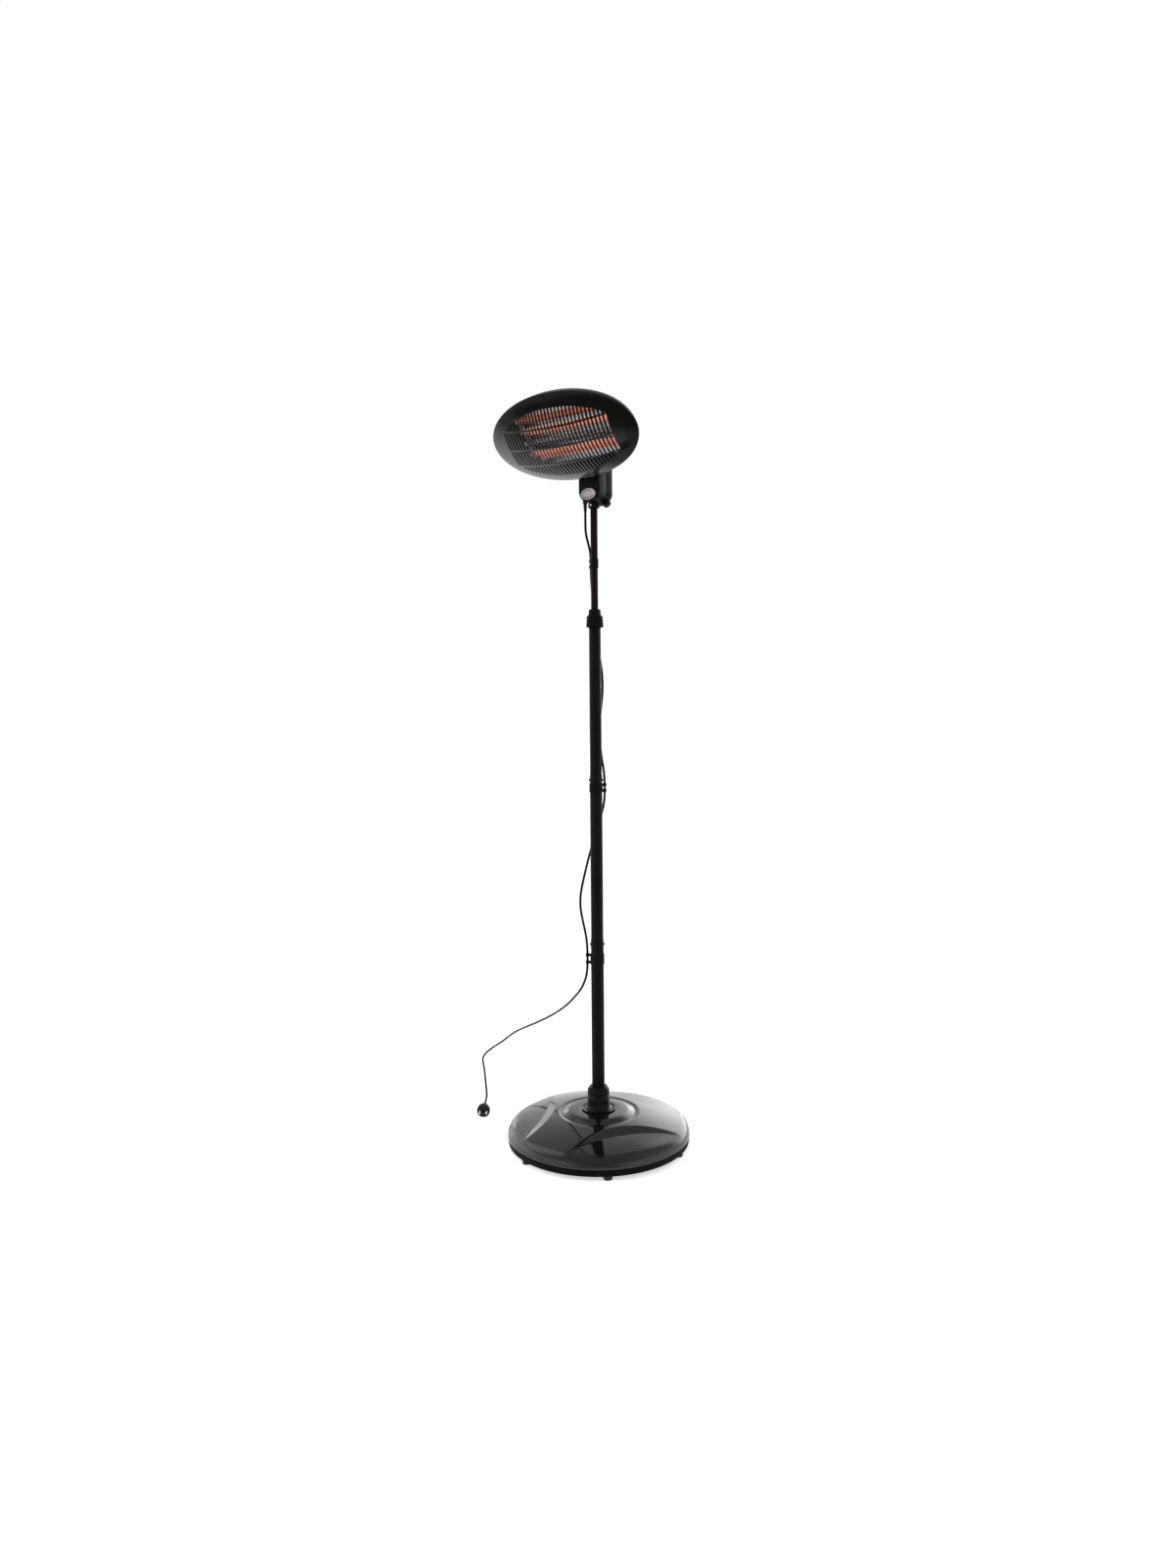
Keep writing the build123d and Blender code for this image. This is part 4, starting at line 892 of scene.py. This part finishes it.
# ---------------------------------------------------------------- pole
@dataclass
class Pole:
    """The three pole sections, their joint screws, the clips and the height clamp."""

    radii: Point = (17.5, 16.7, 15.9)
    spans: tuple[Pair, ...] = ((33.3, 565), (500, 1012), (947, 1408))
    wall: float = 0.7
    joint_heights: Pair = (551, 998)
    screw_count: int = 4
    screw_angle: float = 32
    tube_radius: float = 9.5
    tube_span: Pair = (1165, 1790)
    tube_wall: float = 1.2

    def tube(self, name: str, radius: float, span: Pair, wall: float) -> Piece:
        """Model a thin tube with eased ends.

        Args:
            name: The piece's name.
            radius: Outer radius.
            span: Heights of its ends.
            wall: Thickness of its wall.

        Returns:
            The tube.
        """
        bottom, top = span
        inner = radius - wall
        ease = min(0.25, wall / 3)
        profile = [
            (inner, bottom), (radius - ease, bottom), (radius, bottom + ease),
            (radius, top - ease), (radius - ease, top), (inner, top),
        ]
        return Bench.soften(Bench.lathe(name, profile), angle=40)

    def sections(self) -> None:
        """Model the three pole sections and the telescopic tube."""
        for name, radius, span in zip(("lower", "middle", "upper"), self.radii, self.spans):
            tube = self.tube(f"pole_tube_{name}", radius, span, self.wall)
            Bench.dress(tube, Body.STAND, POWDER_COAT, "pole_black", f"pole_{name}")
        tube = self.tube("telescopic_tube", self.tube_radius, self.tube_span, self.tube_wall)
        Bench.dress(tube, Body.MAST, POWDER_COAT, "pole_black", "inner_tube")

    def joint_screws(self, joint: str, radius: float, height: float) -> None:
        """Model a joint's four pan-head screws, each with a sunk drive.

        Args:
            joint: The joint, low or mid.
            radius: Radius of the surface under the heads.
            height: Height of the screws.
        """
        name = f"{joint}_joint_screws"
        profile = [
            (0.02, -3.2), (1.9, -3.2), (1.9, 0.05), (3.9, 0.05), (4, 0.5),
            *arc((1.6, 0.3), 2.3, 20, 84, 5), (1.6, 2.4), (1.4, 1.3), (0.02, 1.3),
        ]
        screws = []
        for number in range(self.screw_count):
            screw = Bench.lathe(f"{name}_{number}", profile, 32)
            angle = math.radians(self.screw_angle + 360 / self.screw_count * number)
            out = Vector((math.cos(angle), math.sin(angle), 0))
            place = out * radius * MM + Vector((0, 0, height * MM))
            screws.append(Bench.settle(screw, Bench.aimed(place, out)))
        whole = Bench.soften(Bench.joined(screws, name), angle=40)
        Bench.dress(whole, Body.STAND, POWDER_COAT, "pole_black", f"joint_screws_{joint}")

    def clamp(self) -> None:
        """Model the lock nut with its ribbed skirt and plain sleeve."""
        nut = Bench.lathe("lock_nut_body", [
            (17.35, 1406), (22.4, 1406), (23.1, 1406.7), (22.6, 1413), (22.1, 1420),
            (21.6, 1428), (21.2, 1434.4), (20.6, 1436), (18.2, 1436.6), (17, 1437.6),
            (16.6, 1440), (15.9, 1450), (15.6, 1452.6), (14.6, 1453), (10.4, 1453),
            (9.85, 1452.4), (9.85, 1449.4), (13.9, 1449.4), (13.9, 1436.4), (17.35, 1436.4),
        ], 160)
        Bench.notch(nut, 20, (0.26, 0.74), (20.5, 25), (1407.5, 1434.5), 0.4, 1.1)
        Bench.soften(nut, angle=34)
        Bench.dress(nut, Body.LOCK_NUT, MOULDING, "moulding_black", "height_nut")

    def small_parts(self) -> None:
        """Dress the clips and the collar from their solids."""
        for body, *nodes in (
            (Body.STAND, "cable_clip_low", "cable_clip_mid"),
            (Body.MAST, "cable_clip_top", "tube_top_collar"),
        ):
            rows = [(node, 0.35, MOULDING, "moulding_black") for node in nodes]
            Bench.from_nodes(body, "moulding", *rows)

    def build(self) -> None:
        """Build the pole."""
        self.sections()
        for joint, radius, height in zip(("low", "mid"), self.radii, self.joint_heights):
            self.joint_screws(joint, radius, height)
        self.clamp()
        self.small_parts()


# ---------------------------------------------------------------- switch box
@dataclass
class Neck:
    """The switch box between the tube and the head, with its badge and selector."""

    front_y: float = -26
    badge_size: Pair = (45, 30)
    badge_height: float = 1752
    selector_angle: float = -50
    selector_root: Point = (0, 24, 1763)
    selector_reach: float = 32.5
    gland_place: Pair = (-20, -11)
    gland_ribs: int = 5

    def badge(self) -> None:
        """Model the plain oval badge: a raised ring round a sunk field."""
        half_w, half_h = (size / 2 for size in self.badge_size)
        badge = Bench.lathe("oval_badge", [
            (half_h - 0.6, 0), (half_h, 0.4), (half_h, 1.7), (half_h - 0.5, 2.4),
            (half_h - 1.3, 2.6), (half_h - 2.6, 2.5), (half_h - 3.4, 1.9),
            (half_h - 3.8, 1.55), (half_h * 0.4, 1.6), (0.02, 1.6), (0.02, 0),
        ])
        Bench.make_oval(badge, half_w / half_h)
        turn = Matrix.Rotation(math.radians(90), 4, "X")
        place = Matrix.Translation((0, self.front_y * MM, self.badge_height * MM)) @ turn
        Bench.settle(badge, place)
        Bench.soften(badge, angle=40)
        Bench.dress(badge, Body.NECK, BADGE_METAL, "badge_silver", "neck_badge")

    def selector(self) -> None:
        """Model the fluted selector knob."""
        knob = Bench.lathe("selector_knob_body", [
            (0.02, -13.5), (3, -13.5), (3, 0), (10.4, 0), (11, 0.6), (11, 3.4), (10.5, 3.8),
            (10.3, 11.6), (9.8, 12.9), (8.8, 13.5), (3, 13.5), (0.02, 13.5),
        ])
        Bench.notch(knob, 16, (0.3, 0.7), (9.5, 12), (4, 11.8), 0.2, 0.6)
        angle = math.radians(self.selector_angle)
        out = Vector((math.cos(angle), 0, math.sin(angle)))
        root = Vector(self.selector_root) * MM + out * (self.selector_reach * MM)
        Bench.settle(knob, Bench.aimed(root, out))
        Bench.soften(knob, angle=34)
        Bench.dress(knob, Body.SELECTOR, MOULDING, "moulding_black", "selector_knob")

    def gland(self) -> None:
        """Model the ribbed strain relief where the lead leaves the box."""
        profile = [(3.35, 1711), (4.1, 1711)]
        for number in range(self.gland_ribs):
            bottom = 1712.2 + 3.6 * number
            swell = 4.25 + 0.18 * number
            profile += [(swell, bottom), (swell + 0.12, bottom + 2.2)]
            profile += [(swell - 0.6, bottom + 2.5), (swell - 0.6, bottom + 3.3)]
        profile += [(5.2, 1730.6), (6.3, 1731.6), (6.5, 1732.4), (6.5, 1747), (3.35, 1747)]
        gland = Bench.lathe("strain_relief", profile, 40)
        x, y = self.gland_place
        Bench.settle(gland, Matrix.Translation((x * MM, y * MM, 0)))
        Bench.soften(gland, 0.12, steps=1)
        Bench.dress(gland, Body.NECK, RUBBER, "lead_rubber", "cable_gland")

    def build(self) -> None:
        """Build the switch box, its shells, socket and yoke from their solids."""
        Bench.from_nodes(
            Body.NECK, "body",
            ("neck_front_shell", 0.3, MOULDING, "moulding_black"),
            ("neck_rear_shell", 0.3, MOULDING, "moulding_black"),
            ("neck_socket", 0.4, MOULDING, "moulding_black"),
            ("neck_yoke", 0.5, HEAD_PAINT, "head_black"),
        )
        self.badge()
        self.selector()
        self.gland()


# ---------------------------------------------------------------- head
@dataclass
class Head:
    """The oval head: housing, reflector, quartz tubes and the slotted guard."""

    centre: Point = (0, -142, 1871)
    tilt: float = 45
    half_width: float = 213
    half_height: float = 122
    guard_wall: float = 1.2
    guard_play: float = 0.4
    depth: float = 70
    wall: float = 1.4
    glows: tuple[Glow, ...] = (Glow.BRIGHT, Glow.OFF, Glow.WARM, Glow.DIM)
    tube_half: float = 138
    tube_pitch: float = 32.5
    tube_depth: float = 38
    coil_half: float = 129
    coil_pitch: float = 3
    coil_radius: float = 3.1
    coil_wire: float = 0.55
    slots: Pair = (182, 93)
    # shine of the bars and of the border round them, and how it grows toward an edge
    bar_shine: Pair = (0.25, 0.1)
    edge_way: Point = (-0.75, -0.65, 0)
    edge_shine: Pair = (0, 0.95)
    place: Matrix = field(init=False)

    def __post_init__(self) -> None:
        """Work out where the head's own axes go: x across, y up the face, z outward."""
        turn = Matrix.Rotation(math.radians(90 + self.tilt), 4, "X")
        self.place = Matrix.Translation(Vector(self.centre) * MM) @ turn

    def housing(self) -> None:
        """Model the smooth bowl behind the guard."""
        flat = self.half_height - self.guard_wall - self.guard_play - self.depth
        floor, back = self.wall - self.depth, -self.depth
        bowl = Bench.lathe("head_bowl", [
            *arc((flat, 0), self.depth, -0.3, -90, 26), (flat * 0.5, back), (0.05, back),
            (0.05, floor), (flat * 0.5, floor), *arc((flat, 0), -floor, -90, -0.3, 20),
        ], 160)
        Bench.make_oval(bowl, self.half_width / self.half_height)
        Bench.settle(bowl, self.place)
        Bench.soften(bowl, angle=40)
        Bench.dress(bowl, Body.HEAD, HEAD_PAINT, "head_black", "rear_housing")

    def guard(self) -> None:
        """Dress the slotted guard from its solid."""
        piece = Bench.from_node("front_guard", "slotted_guard", 0.3, 50)
        Bench.dress(piece, Body.HEAD, GUARD_PAINT, "head_black", "front_guard")
        self.shine_on_bars(NodeBoard(GUARD_PAINT.material()))

    def shine_on_bars(self, board: NodeBoard) -> None:
        """Give the guard's paint more shine on its bars and toward its lower left edge.

        Args:
            board: The board of the guard's paint.
        """
        face = board.node("Mapping", {
            "Vector": board.coords["Object"],
            "Location": Vector(self.centre) * MM,
            "Rotation": (math.radians(90 + self.tilt), 0, 0),
            "Scale": (self.slots[0] * MM, self.slots[1] * MM, 1000),
        }, vector_type="TEXTURE")
        reach = board.node("VectorMath", {0: face}, "Value", operation="LENGTH")
        bars = board.span(reach, *self.bar_shine, 0.97, 1.03)
        edge = board.span(board.dot(face, self.edge_way), *self.edge_shine, 0.1, 1.1)
        total = board.node("Math", {0: bars, 1: edge}, operation="ADD")
        board.shade({"Specular IOR Level": total})

    def coil(self, name: str, height: float) -> Piece:
        """Model one heating coil as a fine helix.

        Args:
            name: The piece's name.
            height: How far up the face it lies.

        Returns:
            The coil's mesh.
        """
        steps = 10
        turns = int(2 * self.coil_half / self.coil_pitch)
        points = []
        for number in range(turns * steps + 1):
            angle = 2 * math.pi * number / steps
            along = -self.coil_half + self.coil_pitch * number / steps
            across = self.coil_radius * math.cos(angle)
            points.append(
                (along, height + across, self.coil_radius * math.sin(angle) - self.tube_depth)
            )
        coil = Bench.as_mesh(Bench.wire(name, points, self.coil_wire, "POLY", 1))
        Bench.settle(coil, self.place)
        bpy.ops.object.shade_smooth()
        return coil

    def tubes(self) -> None:
        """Model the four quartz tubes and their coils, each with its own glow."""
        half = self.tube_half
        profile = [
            (5, -half), (5.9, -half), (6, -half + 0.3), (6, half - 0.3), (5.9, half), (5, half)
        ]
        turn = Matrix.Rotation(math.radians(90), 4, "Y")
        for number, glow in enumerate(self.glows, start=1):
            height = (number - 2.5) * self.tube_pitch
            tube = Bench.lathe(f"quartz_{number}", profile, 48)
            shift = Matrix.Translation((0, height * MM, -self.tube_depth * MM))
            Bench.settle(tube, self.place @ shift @ turn)
            Bench.soften(tube, angle=40)
            Bench.dress(tube, Body.HEAD, QuartzFinish(glow), "quartz", f"quartz_tube_{number}")
            coil = self.coil(f"heating_coil_{number}", height)
            nodes = ["heating_elements"] if number == 1 else []
            Bench.dress(coil, Body.HEAD, CoilFinish(glow), "element", *nodes)

    def build(self) -> None:
        """Build the head, its fittings from their solids."""
        self.housing()
        self.guard()
        self.tubes()
        Bench.from_nodes(
            Body.HEAD, "part",
            ("reflector", 0, REFLECTOR_METAL, "reflector_aluminium"),
            ("tube_bracket_left", 0.2, ZINC, "zinc"),
            ("tube_bracket_right", 0.2, ZINC, "zinc"),
            ("ceramic_caps", 0.3, CERAMIC, "ceramic"),
            ("head_bracket", 0.6, HEAD_PAINT, "head_black"),
        )


# ---------------------------------------------------------------- lead
@dataclass(frozen=True)
class Stretch:
    """One stretch of the mains lead: its route in millimetres and its end."""

    name: str
    node: str
    route: tuple[Point, ...]
    far_end: str = "object"
    lay: str = "hanging"
    bends: Optional[tuple[Body, Body]] = None


LEAD_STRETCHES = (
    Stretch(
        "lead_at_neck", "lead_neck",
        ((-20, -11, 1711), (-20, -11, 1686), (-21.5, -8, 1655), (-18.5, 0, 1628),
         (-14, 5, 1601), (-14, 5, 1574.5)),
        bends=(Body.NECK, Body.MAST),
    ),
    Stretch(
        "lead_at_mast", "lead_mast",
        ((-14, 5, 1574.5), (-14, 5, 1548), (-17, 14, 1508), (-19, 25, 1462), (-17, 31, 1408),
         (-9, 31, 1348), (6, 26, 1290), (8, 25, 1232), (-2, 26, 1172), (-5, 27, 1112),
         (3, 24, 1060), (17, 17, 1010), (17, 17, 977)),
        bends=(Body.MAST, Body.STAND),
    ),
    Stretch(
        "lead_at_pole", "lead_pole",
        ((17, 17, 977), (17, 17, 946), (2, 26, 906), (-13, 24, 862), (-23, 14, 818),
         (-30, 2, 775), (-36, -9, 731), (-42, -17, 688), (-42, -19, 648), (-35, -15, 608),
         (-28, -12, 572), (-25, -11, 541), (-25, -11, 510.5)),
    ),
    Stretch(
        "lead_to_plug", "lead_floor",
        ((-25, -11, 510.5), (-25, -11, 480), (-33, -10, 450), (-54, 2, 420), (-91, 30, 389),
         (-147, 76, 347), (-212, 130, 306), (-278, 183, 268), (-346, 235, 231),
         (-414, 285, 196), (-480, 331, 163), (-543, 373, 131), (-596, 407, 101),
         (-637, 431, 74), (-669, 444, 51), (-701, 442, 30), (-716, 415, 14),
         (-707, 383, 5.5), (-681, 352, 3.4), (-642, 309, 3.4), (-598, 257, 3.4),
         (-552, 202, 3.4), (-507, 149, 3.4), (-471, 104, 5.5), (-448, 72, 12),
         (-430, 48, 18.9), (-416, 26.5, 18.9)),
        "plug", "loose",
    ),
)


@dataclass
class Lead:
    """The mains lead in its four stretches, and its plug."""

    radius: float = 3.25
    plug_ribs: int = 6

    def traced(self, stretch: Stretch) -> list[Point]:
        """Read the smooth line's own points, for its length and path.

        Args:
            stretch: The stretch.

        Returns:
            The points in metres.
        """
        bare = Bench.wire(stretch.name, stretch.route, 0)
        bpy.context.view_layer.update()
        line = bare.evaluated_get(bpy.context.evaluated_depsgraph_get())
        mesh = bpy.data.meshes.new_from_object(line)
        points = [tuple(vertex.co) for vertex in mesh.vertices]
        bpy.data.objects.remove(bare)
        bpy.data.meshes.remove(mesh)
        return points

    def stretch(self, stretch: Stretch, with_pieces: Sequence[Piece] = ()) -> None:
        """Build one stretch of the lead.

        Args:
            stretch: The stretch.
            with_pieces: Not used.
        """
        path = self.traced(stretch)
        piece = Bench.as_mesh(Bench.wire(stretch.name, stretch.route, self.radius))
        bpy.ops.object.shade_smooth_by_angle(angle=math.radians(40))
        Bench.paint(piece, LEAD_SHEATH)
        if stretch.bends:
            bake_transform(piece)
        else:
            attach(piece, Body.STAND.value)
        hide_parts(stretch.node)

    def plug(self) -> list[Piece]:
        """Model the plug with its ribbed relief, and dress its pins.

        Returns:
            The plug's pieces.
        """
        before, end = (Vector(point) for point in LEAD_STRETCHES[-1].route[-2:])
        along = (end - before).normalized()
        side = Vector((0, 0, 1)).cross(along)
        axes = Matrix((side, along.cross(side), along)).transposed().to_4x4()
        profile = [(3.3, 0), (4.1, 0)]
        for number in range(self.plug_ribs):
            bottom = 1.4 + 3.7 * number
            swell = 4.2 + 0.3 * number
            profile += [(swell, bottom), (swell + 0.15, bottom + 2.3)]
            profile += [(swell - 0.7, bottom + 2.6), (swell - 0.7, bottom + 3.4)]
        profile += [
            (6.3, 23.8), (8, 24.2), (9.6, 26.5), (11.6, 31), (13.4, 37), (14.6, 41),
            (16.4, 44.6), (18.2, 46.8), (18.8, 48.4), (18.8, 60.6), (18.2, 61.8),
            (17.4, 62), (3.3, 62),
        ]
        body = Bench.lathe("plug_moulding", profile, 64)
        Bench.settle(body, Matrix.Translation(end * MM) @ axes)
        Bench.soften(body, angle=36)
        Bench.dress(body, Body.STAND, RUBBER, "lead_rubber", "plug_body")
        pins = Bench.from_node("plug_pins", "plug_pins_plated", 0, 60)
        Bench.dress(pins, Body.STAND, PIN_METAL, "pin_brass", "plug_pins")
        return [body, pins]

    def build(self) -> None:
        """Build the lead."""
        pieces = self.plug()
        for stretch in LEAD_STRETCHES:
            self.stretch(stretch, pieces if stretch.far_end == "plug" else ())


# ---------------------------------------------------------------- what stays as it is
@dataclass
class KeptNodes:
    """CAD nodes that stay as they are and get a finish."""

    finishes: tuple[tuple[Finish, str], ...] = (
        (POWDER_COAT, "base_bottom_plate"),
        (CEMENT, "base_weight"),
        (ZINC, "foot_screws base_bolt base_washer collar_set_screw neck_screws"),
        (ZINC, "tilt_bolt tilt_nut tilt_washers reflector_posts rear_screws"),
        (MOULDING, "pole_end_plug height_bush height_collet tube_guide"),
        (PALE_MOULDING, "rotary_switch tip_over_switch terminal_block"),
    )

    def build(self) -> None:
        """Give each kept node its finish."""
        for finish, names in self.finishes:
            for name in names.split():
                Bench.paint(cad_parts[name], finish)
                log.info("%s keeps its solid", name)


# ---------------------------------------------------------------- studio
@dataclass(frozen=True)
class Glimpse:
    """A brighter or darker patch of the room, as gloss shows it.

    Directions count from the middle of the heater: azimuth to the right of straight away
    from the camera, elevation above the horizon, both in degrees. The gain holds inside
    the core and falls to nothing at the edge.
    """

    azimuth: float
    elevation: float
    core: float
    edge: float
    gain: float


@dataclass
class Studio:
    """Camera, lamps, world and floor. Lengths of the camera are in millimetres."""

    azimuth: float = 32
    distance: float = 2766.9
    height: float = 1159.8
    pitch: float = 3.572
    roll: float = 0.454
    focal_px: float = 1050
    shift_px: float = -8.2
    image_long_side: int = 1600
    sensor: float = 36
    ambient: float = 0.6
    room_level: float = 0.82
    darkest_room: float = 0.05
    backdrop_gain: float = 0.8
    # the sines of elevation between which the backdrop fades out
    backdrop_fade: Pair = (0.15, 0.7)
    floor_size: float = 80
    floor_shine: float = 0.55
    floor_in_gloss: float = 1.3
    dark_floor_in_gloss: float = 0.08
    # metres away from the camera where gloss sees the floor turn from dark to pale
    floor_turns_pale: Pair = (-1.3, -0.4)
    glimpses: tuple[Glimpse, ...] = (
        Glimpse(35, 14, 12, 36, 3.4),
        Glimpse(-55, 8, 15, 45, 0.8),
        Glimpse(-75, 50, 10, 28, 1.2),
        Glimpse(-20, 16, 4, 8, 1.5),
        Glimpse(15, 75, 13, 30, -0.25),
        Glimpse(180, -4, 20, 45, -0.72),
        Glimpse(180, 45, 20, 50, -0.25),
    )
    # name, place to the camera's right, away from it and up, aim height, side, power
    lamps: tuple[tuple[str, Point, float, float, float], ...] = (
        ("overhead_panel", (0, -0.2, 3.3), 0, 1.7, 9),
        ("left_panel", (-2.3, -0.6, 1.5), 1.1, 1.2, 26),
        ("right_panel", (2.4, -1.2, 1.8), 1.0, 1.2, 12),
        ("rear_right_panel", (1.3, 3.0, 0.9), 0.5, 1.2, 9),
    )

    def camera(self) -> None:
        """Stand the camera where the photograph was taken."""
        turn, fall, lean = (math.radians(v) for v in (self.azimuth, self.pitch, self.roll))
        place = Vector(
            (self.distance * math.sin(turn), -self.distance * math.cos(turn), self.height)
        ) * MM
        ahead = Vector(
            (-math.sin(turn) * math.cos(fall), math.cos(turn) * math.cos(fall), -math.sin(fall))
        )
        right = Vector((math.cos(turn), math.sin(turn), 0))
        up = right.cross(ahead)
        x_axis = right * math.cos(lean) - up * math.sin(lean)
        y_axis = right * math.sin(lean) + up * math.cos(lean)
        axes = Matrix((x_axis, y_axis, -ahead)).transposed().to_4x4()
        data = bpy.data.cameras.new("camera")
        data.sensor_width = self.sensor
        data.lens = self.focal_px / self.image_long_side * self.sensor
        data.shift_x = self.shift_px / self.image_long_side
        data.clip_end = 50
        camera = bpy.data.objects.new("camera", data)
        camera.matrix_world = Matrix.Translation(place) @ axes
        bpy.context.scene.collection.objects.link(camera)
        bpy.context.scene.camera = camera

    def lamp(self, name: str, place: Point, aim_height: float, size: float, power: float) -> None:
        """Hang one soft square lamp, aimed at the pole.

        Args:
            name: The lamp's name.
            place: Metres to the camera's right, away from the camera, and up.
            aim_height: Height on the pole that it faces, in metres.
            size: Length of its side, in metres.
            power: Its power in watts.
        """
        data = bpy.data.lights.new(name, "AREA")
        data.size = size
        data.energy = power
        lamp = bpy.data.objects.new(name, data)
        lamp.visible_glossy = False
        spot = Matrix.Rotation(math.radians(self.azimuth), 3, "Z") @ Vector(place)
        lamp.matrix_world = Bench.aimed(spot, spot - Vector((0, 0, aim_height)))
        bpy.context.scene.collection.objects.link(lamp)

    def world(self) -> None:
        """Light the scene from a pale room that the camera sees as white.

        Gloss shows the room as it is in a studio: a backdrop that fades with height, with
        brighter and darker patches, and a dark side behind the camera.
        """
        world = bpy.data.worlds.new("studio")
        bpy.context.scene.world = world
        board = NodeBoard(world)
        away = math.radians(90 + self.azimuth)
        patches = [((0, 0, 1), *self.backdrop_fade, self.backdrop_gain)]
        for glimpse in self.glimpses:
            turn, climb = away - math.radians(glimpse.azimuth), math.radians(glimpse.elevation)
            level = math.cos(climb)
            direction = (math.cos(turn) * level, math.sin(turn) * level, math.sin(climb))
            core, edge = (math.cos(math.radians(v)) for v in (glimpse.core, glimpse.edge))
            patches.append((direction, core, edge, glimpse.gain))
        total = self.room_level
        for direction, core, edge, gain in patches:
            nearness = board.dot(board.coords["Generated"], direction)
            patch = board.span(nearness, gain, 0, core, edge, interpolation_type="SMOOTHSTEP")
            total = board.node("Math", {0: total, 1: patch}, operation="ADD")
        total = board.node("Math", {0: total, 1: self.darkest_room}, operation="MAXIMUM")

        plain = board.nodes["Background"]
        plain.inputs["Color"].default_value = (0.97, 0.98, 1, 1)
        plain.inputs["Strength"].default_value = self.ambient
        room = board.node("Background", {"Strength": total})
        white = board.node("Background", {"Color": (1, 1, 1, 1)})
        rays = board.nodes.new("ShaderNodeLightPath").outputs
        light = plain.outputs[0]
        for kind, over in (("Glossy", room), ("Transmission", white), ("Camera", white)):
            light = board.node("MixShader", {"Fac": rays[f"Is {kind} Ray"], 1: light, 2: over})
        board.feed(board.nodes["World Output"].inputs["Surface"], light)

    def floor(self) -> None:
        """Lay a plain pale floor that the camera sees as white.

        Gloss shows it pale beside and behind the heater, and dark toward the camera.
        """
        Bench.clear()
        bpy.ops.mesh.primitive_plane_add(size=self.floor_size, location=(0, 0, 0))
        floor = Bench.named("studio_floor")
        material = bpy.data.materials.new("pale_floor")
        board = NodeBoard(material)
        board.shade({
            "Roughness": 0.9,
            "Base Color": board.ramp(board.noise(0.6), 0.3, [0.92] * 3, 0.7, [0.94] * 3),
            "Emission Color": (1, 1, 1, 1),
            "Emission Strength": self.floor_shine,
        })
        turn = math.radians(self.azimuth)
        away = board.dot(board.coords["Object"], (-math.sin(turn), math.cos(turn), 0))
        level = board.span(
            away, self.dark_floor_in_gloss, self.floor_in_gloss, *self.floor_turns_pale,
            interpolation_type="SMOOTHSTEP",
        )
        rays = board.nodes.new("ShaderNodeLightPath").outputs
        shown = board.node("MixShader", {
            "Fac": rays["Is Glossy Ray"],
            1: board.nodes["Principled BSDF"].outputs[0],
            2: board.node("Emission", {"Strength": level}),
        })
        board.feed(board.nodes["Material Output"].inputs["Surface"], shown)
        floor.data.materials.append(material)

    def build(self) -> None:
        """Set up the studio."""
        self.camera()
        for lamp in self.lamps:
            self.lamp(*lamp)
        self.world()
        self.floor()
        bpy.context.scene.view_settings.view_transform = "Standard"


def main() -> None:
    """Build the heater and its studio, one sub-assembly after another."""
    logging.basicConfig(level=logging.INFO, format="%(name)s: %(message)s")
    Studio().build()
    Lead().build()
    for part in (Base(), Pole(), Neck(), Head(), KeptNodes()):
        part.build()
        log.info("%s is finished", type(part).__name__)
    Bench.clear()


if __name__ == "__main__":
    main()
